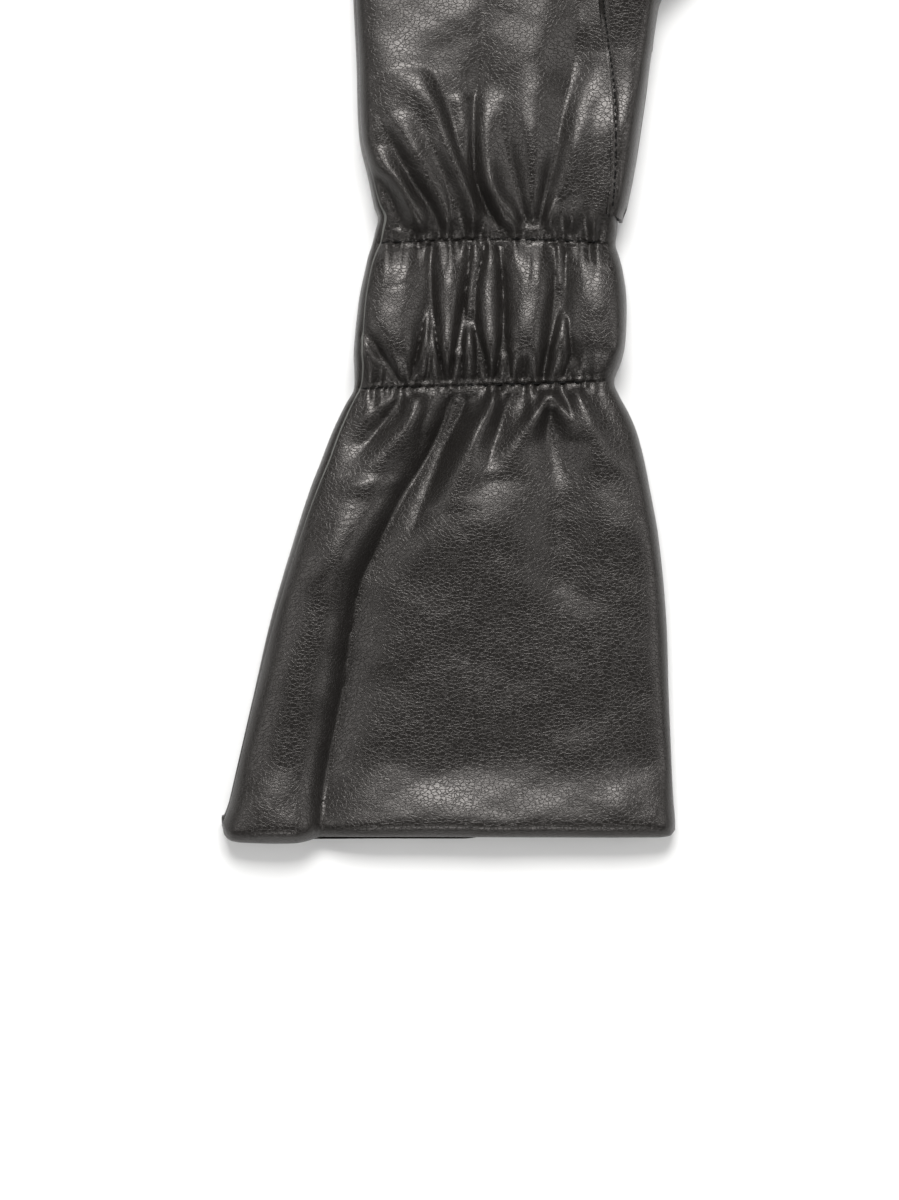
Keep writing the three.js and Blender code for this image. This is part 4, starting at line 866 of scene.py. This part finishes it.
def grow_finger(leather, k, root, side):
    """One finger on its piece of the knuckle row; side is 1 for the front panel and -1 for the rear one."""
    root_points = leather.points[root]
    width, tip, length = FINGERS["width"][k], FINGERS["tip"][k], FINGERS["length"][k]
    lean = math.radians(FINGERS["lean"][k])
    onwards = np.array([math.sin(lean), math.cos(lean), 0])
    square = np.array([onwards[1], -onwards[0], 0])
    middle = (root_points[0] + root_points[-1]) / 2
    root_width = (root_points[-1] - root_points[0]) @ square
    depth = FINGERS["crown"][k] - SIDE_HEIGHT if side > 0 else SIDE_HEIGHT
    across = crowded(len(root) - 1)
    section = arch(across, FINGER_SQUARENESS) if side > 0 else pressed(across, FINGER_FLATNESS)

    def ring(s):
        round_end = np.clip((s - length + TIP_ROUND) / TIP_ROUND, 0, 1)
        taper = lerp(root_width, width, smoothstep(s, 0, FINGER_ROOT_REACH)) - (width - tip) * s / length
        wide = max(float(taper * np.sqrt(1 - round_end ** 2)), TIP_END_WIDTH)
        rise = depth * section * np.sqrt(1 - round_end ** 3)
        flat = middle + onwards * s + square * (across[:, None] * wide / 2)
        return np.column_stack([flat[:, :2], SIDE_HEIGHT + side * (rise + GAP / 2)])

    skew = (root_points - ring(0.0)) * np.array([1, 1, 0])
    numbers = leather.add(np.array([
        ring(s) + skew * (1 - smoothstep(s, 0, FINGER_ROOT_REACH)) for s in SHARES[1:] * length]))
    leather.seam(numbers[:, 0], -square)
    leather.seam(numbers[:, -1], square)
    leather.seam(numbers[-1], onwards)
    leather.cover(np.vstack([root, numbers])[:, ::side])


def grow_fingers(leather, knuckles, side):
    per = (len(knuckles) - 1) // 4
    for k in range(4):
        grow_finger(leather, k, knuckles[k * per:(k + 1) * per + 1], side)
    leather.seam(knuckles[per:-1:per], (0, 1, 0))
    leather.seam(knuckles[0], (-1, 0, 0))
    leather.seam(knuckles[-1], (1, 0, 0))


# %% [markdown]
# ## Front panel
# The side that shows: from the hem over the cuff, the wrist's band and the back of the hand. Its left edge is
# a raw cut laid over the rear panel, and beside the thumb it runs on a little under the thumb's lapped edge.

# %% The front panel
HOLE_CLOSED = 262.5  # above this the front panel's side is whole again
# painted highlight: the raw edge's light grey is partly the leather's lighter core and partly light that its
# slant catches
RAW_EDGE_LEAN = 0.9  # the raw edge is cut at a slant, so that its lighter middle shows from above
TONGUE_START, TONGUE_WHOLE = 165, 185  # between these rows the columns swing in to the thumb's tongue
SIDE_TURN, LEAST_TURN = 4, 1  # width of the columns that turn down at the right side
NORMAL_STEP = 0.3


def slope_normal(x, row):
    """The direction square to the front panel across the glove."""
    slope = (top_height(x + NORMAL_STEP, row) - top_height(x - NORMAL_STEP, row)) / (2 * NORMAL_STEP)
    normal = np.stack([-slope, np.zeros_like(slope), np.ones_like(slope)], axis=-1)
    return normal / np.linalg.norm(normal, axis=-1, keepdims=True)


def thumb_line(row, right, past):
    """A line of columns that runs along the thumb's opening, so that its edge is clean."""
    line = lerp(right - SIDE_TURN, hole_edge(row) + past, smoothstep(row, TONGUE_START, TONGUE_WHOLE))
    return np.minimum(line, right - LEAST_TURN)


def around_hole(rows, steps, hole_to):
    """Which squares of 2 x 2 faces a panel has: all but those of the thumb's opening."""
    wanted = np.ones(((len(rows) - 1) // 2, steps // 2), bool)
    wanted[(rows[1::2] > HOLE_FROM) & (rows[1::2] < hole_to), -SIDE_STEPS // 2:] = False
    return wanted


def make_front():
    leather = Leather()
    rows = FRONT_ROWS[:, None]
    middle, half = span_at(rows)
    web = web_share(rows)
    left = middle - half + along(OUTLINE, "inset", rows) * (1 - web)
    right = middle + half
    x = palm_columns(left, thumb_line(rows, right, HOLE_LAP), right, FRONT_STEPS, *FRONT_EDGE)
    x = lerp(x, finger_x(FRONT_STEPS), web)
    rows = np.broadcast_to(rows, x.shape)
    z = top_height(x, rows) + GAP / 2 - hem_drop(rows)
    numbers = leather.add(np.stack([x, row_y(x, rows), z], axis=-1))
    leather.cover(numbers, around_hole(FRONT_ROWS, FRONT_STEPS, HOLE_CLOSED))
    grow_fingers(leather, numbers[-1], 1)
    across = slope_normal(x, rows)
    hem = FRONT_ROWS < HEM_ROUND + ROW_SLACK
    leather.seam(numbers[hem], across[hem])
    leather.seam(numbers[:-1, -1], (1, 0, 0))
    hole_rows = (FRONT_ROWS > HOLE_FROM - ROW_SLACK) & (FRONT_ROWS < HOLE_CLOSED)
    leather.seam(numbers[hole_rows, -SIDE_STEPS - 1], across[hole_rows, -SIDE_STEPS - 1])
    leather.seam(numbers[:-1, 0], across[:-1, 0] + np.array([RAW_EDGE_LEAN, 0, 0]))
    return leather.finish("front_leather", wall_at, HEM_DEPTH)


make_front()

# %% [markdown]
# ## Rear panel
# The side that rests. It comes up round the little-finger side and ends under the front panel's raw edge, so
# a strip of it shows there, a leather's thickness lower. It rests level where it is pressed on the table.

# %% The rear panel
STRIP_STEPS = 10
STRIP_UNDER = 1.6  # how far the strip runs on under the front panel
STRIP_DROP = LEATHER + 0.1
STRIP_CROWDING = 1.6  # of its columns, which stand closer where it turns down
LEAST_INSET = 0.3
REAR_PEEP = 0.9  # the rear hem shows below the front's beside the pleat
PEEP_LEFT, PEEP_RIGHT, PEEP_REACH = (-41, -37), (4, 12), 9


def make_rear():
    leather = Leather()
    rows = REAR_ROWS[:, None]
    middle, half = span_at(rows)
    web = web_share(rows)
    left, right = middle - half, middle + half
    inset = along(OUTLINE, "inset", rows) * (1 - web)
    palm_x = palm_columns(left, thumb_line(rows, right, -HOLE_SEAM), right, REAR_STEPS, *REAR_EDGE)
    palm_x = lerp(palm_x, finger_x(REAR_STEPS), web)
    palm_rows = np.broadcast_to(rows, palm_x.shape)
    palm_z = under_height(palm_x, palm_rows) - GAP / 2 + hem_drop(palm_rows)
    peep = smoothstep(palm_x, *PEEP_LEFT) * (1 - smoothstep(palm_x, *PEEP_RIGHT))
    peep = peep * (1 - smoothstep(palm_rows, 0, PEEP_REACH))
    palm = np.stack([palm_x, row_y(palm_x, palm_rows) - REAR_PEEP * peep, palm_z], axis=-1)
    share = 1 - np.arange(STRIP_STEPS) / STRIP_STEPS
    strip_x = left + (inset + STRIP_UNDER) * share ** STRIP_CROWDING
    strip_rows = np.broadcast_to(rows, strip_x.shape)
    drop = STRIP_DROP * smoothstep((strip_x - left) / np.maximum(inset, LEAST_INSET), 0, 1)
    strip_z = top_height(strip_x, strip_rows) - GAP / 2 - drop - hem_drop(strip_rows)
    strip = np.stack([strip_x, row_y(strip_x, strip_rows), strip_z], axis=-1)
    numbers = leather.add(np.concatenate([strip, palm], axis=1))
    wanted = around_hole(REAR_ROWS, REAR_STEPS + STRIP_STEPS, HOLE_TO)
    wanted[REAR_ROWS[1::2] > WEB_START, :STRIP_STEPS // 2] = False
    leather.cover(numbers[:, ::-1], wanted[:, ::-1])
    palm_numbers = numbers[:, STRIP_STEPS:]
    grow_fingers(leather, palm_numbers[-1], -1)
    hem = REAR_ROWS < HEM_ROUND + ROW_SLACK
    strip_end = REAR_ROWS < WEB_START + 1
    across = slope_normal(strip_x, strip_rows)
    leather.seam(palm_numbers[hem], (0, 0, -1))
    leather.seam(numbers[hem, :STRIP_STEPS], across[hem])
    leather.seam(numbers[strip_end, 0], across[strip_end, 0])
    leather.seam(palm_numbers[:-1, 0], (-1, 0, 0))
    leather.seam(palm_numbers[:-1, -1], (1, 0, 0))
    hole_rows = (REAR_ROWS > HOLE_FROM - ROW_SLACK) & (REAR_ROWS < HOLE_TO + ROW_SLACK)
    leather.seam(palm_numbers[hole_rows, -SIDE_STEPS - 1], (0, 0, -1))
    return leather.finish("rear_leather", wall_at, HEM_DEPTH)


make_rear()

# %% [markdown]
# ## Thumb
# One leather: a tongue that laps the front panel and is top-stitched to it, and from the thumb's opening on
# it closes into a tube. Row by row the surface changes from a copy of the front panel, a leather higher, to
# the thumb's own rounded section.

# %% The thumb
TONGUE_LAP = LEATHER + 0.2
THUMB_LEAN = math.radians(24)
THUMB_STEPS = 44
STITCH_INSET, STITCH_DIP, DIP_HALF = 1.4, 0.4, 0.55  # where the seam lies in from the edge, and its dent
THUMB_ROWS_EACH = 10  # rows of points for each row of the thumb's table
TUBE_TURN = 1.2  # within so many rows of the table the thumb closes to a tube
LAP_END, SIDE_END = 6.5, 5  # rows of the table where the lapped edge and the shared side end


def row_through(x, y):
    """The row that passes through a point, near enough."""
    return 2 * y - row_y(x, y)


def lapped(x, y):
    """A point that lies over the front panel, a leather higher."""
    base = np.stack([x, y, top_height(x, row_through(x, y)) + GAP / 2], axis=-1)
    return base + slope_normal(x, y) * TONGUE_LAP


def section_point(start, end, depth, side, share):
    """A rounded section from start to end: it leaves start at start's own height and turns down at its end."""
    fold_z = SIDE_HEIGHT + side * GAP / 2
    edge = np.where(depth > 0.01, np.clip(side * (start[..., 2] - fold_z) / np.maximum(depth, 0.01), 0, 1), 0)
    first = -((1 - edge ** 2) ** (1 / THUMB_ROUNDNESS))
    spread = np.sin((2 * share - 1) * SPACING_ARC) / math.sin(SPACING_ARC)
    across = lerp(first, 1, (1 + spread) / 2)
    point = start + (end - start) * ((across - first) / (1 - first))[..., None]
    point[..., 2] = fold_z + side * depth * arch(across, THUMB_ROUNDNESS)
    return point


def thumb_frame():
    """The thumb's table drawn out: its rows, the X and Y of its two sides, its height over the side line, how
    free it is and how far it has closed to a tube.
    """
    tip = len(THUMB["row"]) - 2
    t = np.append(np.linspace(0, tip, THUMB_ROWS_EACH * tip, endpoint=False),
                  tip + np.sin(np.linspace(0, math.pi / 2, 9)))[:, None]
    left_x, left_y, right_x, right_y, crown, free = (
        along(THUMB, name, t, "row") for name in ("leftX", "leftY", "rightX", "rightY", "crown", "free"))
    tube = smoothstep(t, THUMB_TUBE_ROW - TUBE_TURN, THUMB_TUBE_ROW)
    return t, left_x, left_y, right_x, right_y, crown - SIDE_HEIGHT, np.clip(free, 0, 1), tube


def tongue_over(share, left_x, left_y, right_y):
    """The copy of the front panel, a leather higher, with a dent along its seam."""
    middle, half = span_at(left_y)
    first = np.arcsin(np.clip((left_x - middle) / half, -1, 1) * math.sin(SPACING_ARC)) / SPACING_ARC
    x = middle + half * np.sin(lerp(first, 1, share) * SPACING_ARC) / math.sin(SPACING_ARC)
    y = lerp(left_y, right_y, share)
    over = lapped(x, y)
    over[..., 2] -= STITCH_DIP * bell(x - left_x - STITCH_INSET, DIP_HALF)
    over[:, -1, 0] = x[:, -1] + TONGUE_LAP
    over[:, -1, 1:] = np.stack([y[:, -1], np.full(len(y), SIDE_HEIGHT + GAP / 2)], axis=1)
    return over


def make_thumb():
    """Returns the grid of points of the side that shows, for the stitches."""
    leather = Leather()
    t, left_x, left_y, right_x, right_y, above, free, tube = thumb_frame()
    share = (np.arange(THUMB_STEPS + 1) / THUMB_STEPS)[None, :]
    closed = np.concatenate([left_x, left_y, np.full_like(t, SIDE_HEIGHT + GAP / 2)], axis=1)
    start = lerp(lapped(left_x, left_y)[:, 0], closed, tube)[:, None]
    end = np.concatenate([right_x, right_y, np.zeros_like(t)], axis=1)[:, None]
    top = lerp(tongue_over(share, left_x, left_y, right_y), section_point(start, end, above, 1, share),
               free[..., None])
    numbers = leather.add(top)
    leather.cover(numbers)
    under_from = THUMB_ROWS_EACH * THUMB_UNDER_ROW
    under_z = under_height(left_x, row_through(left_x, left_y)) - GAP / 2
    under_start = np.concatenate([left_x, left_y, lerp(under_z, SIDE_HEIGHT - GAP / 2, tube)], axis=1)[:, None]
    under = section_point(under_start, end, np.minimum(SIDE_HEIGHT, above), -1, 1 - share[:, 1:])
    under_grid = np.hstack([numbers[under_from:, -1:], leather.add(under[under_from:])])
    leather.cover(under_grid)
    rows = t[:, 0]
    under_rows = rows[under_from:]
    onwards = np.array([math.sin(THUMB_LEAN), math.cos(THUMB_LEAN), 0])
    inwards = np.array([-onwards[1], onwards[0], 0])
    leather.seam(numbers[rows < LAP_END, 0], slope_normal(left_x, left_y)[rows < LAP_END, 0])
    leather.seam(numbers[rows > THUMB_TUBE_ROW + 0.5, 0], inwards)
    leather.seam(numbers[rows < SIDE_END, -1], (1, 0, 0))
    leather.seam(under_grid[under_rows <= THUMB_TUBE_ROW, -1], (0, 0, -1))
    leather.seam(under_grid[under_rows > THUMB_TUBE_ROW + 0.5, -1], inwards)
    leather.seam(numbers[-1], onwards)
    leather.seam(under_grid[-1], onwards)
    leather.finish("thumb_leather", lambda points: np.full(len(points), LEATHER))
    return top


tongue_surface = make_thumb()

# %% [markdown]
# ## Leather
# The grain side of nappa is a net of fine creases round small flat cells. On the cuff the cells are pulled
# out sideways and on the hand they lie every way. A distance-to-edge Voronoi texture, warped by noise, draws
# such a net; here one sideways pull stretches its cells all over, and only the cuff gets sideways wrinkles. It
# is used by the panels and by the turned hem, so it is a node group with its own inputs.

# %% Small sums, noise and ranges in a node tree
def calculate(tree, operation, *values):
    """A Math node; each value is a number or another node's output."""
    return put(tree, "ShaderNodeMath", dict(enumerate(values)), operation=operation).outputs[0]


def reckon(tree, operation, *vectors):
    return put(tree, "ShaderNodeVectorMath", dict(enumerate(vectors)), operation=operation).outputs[0]


def noise(tree, where, scale, detail=2.0):
    return put(tree, "ShaderNodeTexNoise", {"Vector": where, "Scale": scale, "Detail": detail}).outputs


def step_up(tree, value, low, high):
    """0 at low, 1 at high and smooth between them."""
    return put(tree, "ShaderNodeMapRange", {"Value": value, "From Min": low, "From Max": high},
               interpolation_type="SMOOTHSTEP").outputs["Result"]


# %% The net of creases, as a node group
WARP, WARP_SCALE = (1.5, 1.1, 1.1), 0.55  # how far noise shifts the net, in mm
CREASE_WIDTH = 0.12  # of a cell
FINE_SIZE, FINE_HEIGHT = 2.3, 0.15  # of the finer net's creases, against the main net's
EVEN_HEIGHT = 0.7  # of the net where the patches of noise are lowest
PATCH_SCALE = 0.11
WRINKLE_PULL, WRINKLE_SCALE, WRINKLE_WIDTH = (0.22, 1.0, 0.6), 0.42, 0.045
WRINKLES_FROM, WRINKLES_WHOLE = -50, -75  # mm along Y: only the cuff has sideways wrinkles


def make_grain_group():
    group = bpy.data.node_groups.new("leather_grain", "ShaderNodeTree")
    for name, start in (("Cells per mm", 0.9), ("Sideways pull", 0.5), ("Unevenness", 0.35),
                        ("Sideways wrinkles", 0.5)):
        group.interface.new_socket(name, in_out="INPUT", socket_type="NodeSocketFloat").default_value = start
    for name in ("Height", "Crease", "Patches"):
        group.interface.new_socket(name, in_out="OUTPUT", socket_type="NodeSocketFloat")
    entry = put(group, "NodeGroupInput").outputs
    place_in_metres = put(group, "ShaderNodeTexCoord").outputs["Object"]
    in_mm = reckon(group, "MULTIPLY", place_in_metres, (1000, 1000, 1000))
    shifted = reckon(group, "MULTIPLY_ADD", noise(group, in_mm, WARP_SCALE)["Color"], WARP, in_mm)
    stretch = calculate(group, "SUBTRACT", 1.0, entry["Sideways pull"])
    pulled = put(group, "ShaderNodeCombineXYZ", {"X": stretch, "Y": 1, "Z": 1}).outputs[0]
    laid = reckon(group, "MULTIPLY", shifted, pulled)
    heights = []
    for times in (1.0, FINE_SIZE):
        scale = calculate(group, "MULTIPLY", entry["Cells per mm"], times)
        net = put(group, "ShaderNodeTexVoronoi", {"Vector": laid, "Scale": scale}, feature="DISTANCE_TO_EDGE")
        heights.append(step_up(group, net.outputs["Distance"], 0, CREASE_WIDTH))
    patches = noise(group, in_mm, PATCH_SCALE, 3.0)["Fac"]
    drawn = noise(group, reckon(group, "MULTIPLY", shifted, WRINKLE_PULL), WRINKLE_SCALE)["Fac"]
    off_line = calculate(group, "ABSOLUTE", calculate(group, "SUBTRACT", drawn, 0.5))
    on_cuff = step_up(group, put(group, "ShaderNodeSeparateXYZ", {0: in_mm}).outputs["Y"],
                      WRINKLES_FROM, WRINKLES_WHOLE)
    in_patches = calculate(group, "MULTIPLY", patches, entry["Sideways wrinkles"])
    wrinkles = calculate(group, "MULTIPLY", step_up(group, off_line, 0, WRINKLE_WIDTH), in_patches)
    wrinkles = calculate(group, "MULTIPLY", wrinkles, on_cuff)
    nets = calculate(group, "ADD", heights[0], calculate(group, "MULTIPLY", heights[1], FINE_HEIGHT))
    strength = calculate(group, "MULTIPLY_ADD", patches, entry["Unevenness"], EVEN_HEIGHT)
    height = calculate(group, "ADD", calculate(group, "MULTIPLY", nets, strength), wrinkles)
    put(group, "NodeGroupOutput", {"Height": height, "Patches": patches,
                                   "Crease": calculate(group, "SUBTRACT", 1.0, heights[0])})
    return group


grain_group = make_grain_group()
print("group outputs:", [item.name for item in grain_group.interface.items_tree])

# %% The four finishes: grain side, flesh side, cut edge and turned hem
def colour_and_bump(tree, shader, share, dark, light, height, depth):
    """A colour between dark and light, and a bump so many metres high, for a shader."""
    colour = put(tree, "ShaderNodeMix", {"Factor": share, "A": (*dark, 1), "B": (*light, 1)}, data_type="RGBA")
    bump = put(tree, "ShaderNodeBump", {"Height": height, "Distance": depth})
    feed(tree, shader, {"Base Color": colour.outputs["Result"], "Normal": bump.outputs["Normal"]})


def grain_finish(name, cell_roughness, pull):
    """Flat cells are a little glossier than the creases round them."""
    material, tree, shader = new_finish(name, {"Roughness": CREASE_ROUGHNESS, "Specular Tint": WARM_GLOSS})
    grain = put(tree, "ShaderNodeGroup", node_tree=grain_group)
    feed(tree, grain, {"Cells per mm": 1.0, "Sideways pull": pull})
    rough = put(tree, "ShaderNodeMapRange", {
        "Value": grain.outputs["Crease"], "To Min": cell_roughness, "To Max": CREASE_ROUGHNESS})
    feed(tree, shader, {"Roughness": rough.outputs["Result"]})
    colour_and_bump(tree, shader, grain.outputs["Patches"], DARK, LIGHT, grain.outputs["Height"], GRAIN_DEPTH)
    return material


def fibre_finish(name, dark, light, depth):
    material, tree, shader = new_finish(name, {"Roughness": 0.9, "Specular IOR Level": 0.2})
    nap = noise(tree, put(tree, "ShaderNodeTexCoord").outputs["Object"], NAP_SCALE, 4.0)["Fac"]
    colour_and_bump(tree, shader, nap, dark, light, nap, depth)
    return material


DARK, LIGHT = (0.0068, 0.006, 0.0054), (0.0118, 0.0106, 0.0097)
WARM_GLOSS = (1, 0.95, 0.915, 1)
CREASE_ROUGHNESS = 0.46
GRAIN_DEPTH = 0.000045
NAP_SCALE = 2600  # of the fibres where the leather is cut or split
grain_side = grain_finish("black_leather_grain", 0.32, 0.3)
turned_side = grain_finish("black_leather_turned", 0.34, 0.2)
flesh_side = fibre_finish("black_leather_flesh", (0.02, 0.019, 0.018), (0.05, 0.047, 0.045), 0.0002)
# the cut edge's light grey is partly the leather's lighter core and partly a painted highlight where the edge
# catches the light
cut_edge_and_highlight = fibre_finish("black_leather_edge_and_highlight", (0.07, 0.07, 0.065), (0.15, 0.15, 0.14), 0.0001)
print("finishes:", [material.name for material in bpy.data.materials if material.name.startswith("black")])

# %% Dress the pieces and stand them for the plain solids
STANDS_FOR = {"front_leather": "front_panel", "rear_leather": "rear_panel", "thumb_leather": "thumb"}
for piece_name, node_name in STANDS_FOR.items():
    leather_piece = bpy.data.objects[piece_name]
    edge_finish = grain_side if piece_name == "thumb_leather" else cut_edge_and_highlight
    for finish in (grain_side, flesh_side, edge_finish, turned_side):
        leather_piece.data.materials.append(finish)
    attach(leather_piece, "root")
    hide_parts(node_name)
    low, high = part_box(node_name)
    corners = np.array([vertex.co for vertex in leather_piece.data.vertices])
    print(piece_name, "solid:", np.round(1000 * np.array([low, high]), 1).tolist(),
          "dressed:", np.round(1000 * np.array([corners.min(0), corners.max(0)]), 1).tolist())

# %% [markdown]
# ## Stitches
# Three rows of thread show: the two elastic rows, whose stitches lie deep in their groove, and the row that
# holds the tongue. Each stitch is a short thread that bends down into the leather at both ends. They are all
# built from one profile, because a curve with a bevel would make hundreds of separate objects.

# %% A row of stitches
THREAD_SIDES = 6
THREAD_RINGS = np.array([-1, -0.8, -0.35, 0.35, 0.8, 1])  # along half of a stitch's length
THREAD_THINNING = 0.45  # at a stitch's ends


def sew(name, middles, directions, length, radius, sink):
    """Stitches at points of the pattern, each a little thread tube that dives at both ends."""
    points, faces = [], []
    angles = 2 * math.pi * np.arange(THREAD_SIDES) / THREAD_SIDES
    for middle, direction in zip(middles, directions):
        direction = direction / np.linalg.norm(direction)
        sideways = np.cross(direction, (0, 0, 1))
        sideways = sideways / np.linalg.norm(sideways)
        upwards = np.cross(sideways, direction)
        first = len(points)
        for ring in THREAD_RINGS:
            thick = radius * (1 - THREAD_THINNING * ring ** 4)
            centre = middle + direction * ring * length / 2 - upwards * sink * ring ** 4
            for angle in angles:
                points.append(centre + thick * (math.cos(angle) * sideways + math.sin(angle) * upwards))
        for ring in range(len(THREAD_RINGS) - 1):
            for k in range(THREAD_SIDES):
                a, b = first + ring * THREAD_SIDES + k, first + ring * THREAD_SIDES + (k + 1) % THREAD_SIDES
                faces.append((a, b, b + THREAD_SIDES, a + THREAD_SIDES))
        last = first + (len(THREAD_RINGS) - 1) * THREAD_SIDES
        faces.append(tuple(range(first + THREAD_SIDES - 1, first - 1, -1)))
        faces.append(tuple(range(last, last + THREAD_SIDES)))
    mesh = bpy.data.meshes.new(name)
    mesh.from_pydata(((np.array(points) + ORIGIN) * MM).tolist(), [], faces)
    mesh.polygons.foreach_set("use_smooth", np.ones(len(faces), bool))
    mesh.materials.append(thread)
    row = place(name, mesh)
    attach(row, "root")
    print(name, "stitches:", len(middles))


# %% The three rows
ELASTIC_PITCH, ELASTIC_STITCH, ELASTIC_SINK = 3.8, 2.6, 0.35
TONGUE_PITCH, TONGUE_STITCH, TONGUE_SINK = 1.9, 1.35, 0.3
TONGUE_SEAM_START, TONGUE_SEAM_END = 183.2, 257.0
THREAD_RADIUS = 0.25
THREAD_PROUD = 0.15, 0.12, 0.1  # on the side that shows, on the rear panel and on the tongue
ALONG_STEP = 0.8
ELASTIC_START, ELASTIC_FREE = 1.4, 2  # the first stitch in from the raw edge, and what both ends leave free
TWIST_SCALE, TWIST_DEPTH = 900, 0.00008  # of the thread's twist

thread, tree, shader = new_finish("black_thread", {"Roughness": 0.6, "Specular IOR Level": 0.12})
where = put(tree, "ShaderNodeTexCoord").outputs["Object"]
waves = put(tree, "ShaderNodeTexWave", {"Vector": where, "Scale": TWIST_SCALE}, bands_direction="DIAGONAL")
twist = waves.outputs["Fac"]
colour_and_bump(tree, shader, twist, (0.002, 0.002, 0.002), (0.007, 0.0068, 0.0065), twist, TWIST_DEPTH)


def elastic_row(name, row):
    middle, half = span_at(row)
    inset = float(along(OUTLINE, "inset", row))
    count = int((2 * half - inset - ELASTIC_FREE) / ELASTIC_PITCH)
    x = middle - half + inset + ELASTIC_START + ELASTIC_PITCH * np.arange(count)
    level = np.zeros_like(x)
    y = row_y(x, row)
    z = top_height(x, row) + GAP / 2 + THREAD_PROUD[0]
    ahead, behind = x + ALONG_STEP, x - ALONG_STEP
    directions = np.stack([level + 2 * ALONG_STEP, row_y(ahead, row) - row_y(behind, row),
                           top_height(ahead, row) - top_height(behind, row)], axis=1)
    under_z = under_height(x, row) - GAP / 2 - THREAD_PROUD[1]
    points = np.vstack([np.stack([x, y, z], axis=1), np.stack([x, y, under_z], axis=1)])
    directions = np.vstack([directions, np.stack([level + 1, level, level], axis=1)])
    sew(name, points, directions, ELASTIC_STITCH, THREAD_RADIUS, ELASTIC_SINK)


elastic_row("lower_elastic_stitches", LOWER_ROW)
elastic_row("upper_elastic_stitches", UPPER_ROW)

tongue_y = np.arange(TONGUE_SEAM_START, TONGUE_SEAM_END, TONGUE_PITCH)
tongue_points = []
for surface_row in np.interp(tongue_y, tongue_surface[:, 0, 1], np.arange(len(tongue_surface))):
    across_tongue = tongue_surface[round(float(surface_row))]
    stitch_x = across_tongue[0, 0] + STITCH_INSET
    y, z = [np.interp(stitch_x, across_tongue[:, 0], across_tongue[:, axis]) for axis in (1, 2)]
    tongue_points.append((stitch_x, y, z + THREAD_PROUD[2]))
tongue_points = np.array(tongue_points)
directions = np.gradient(tongue_points, axis=0)
sew("tongue_stitches", tongue_points, directions, TONGUE_STITCH, THREAD_RADIUS, TONGUE_SINK)
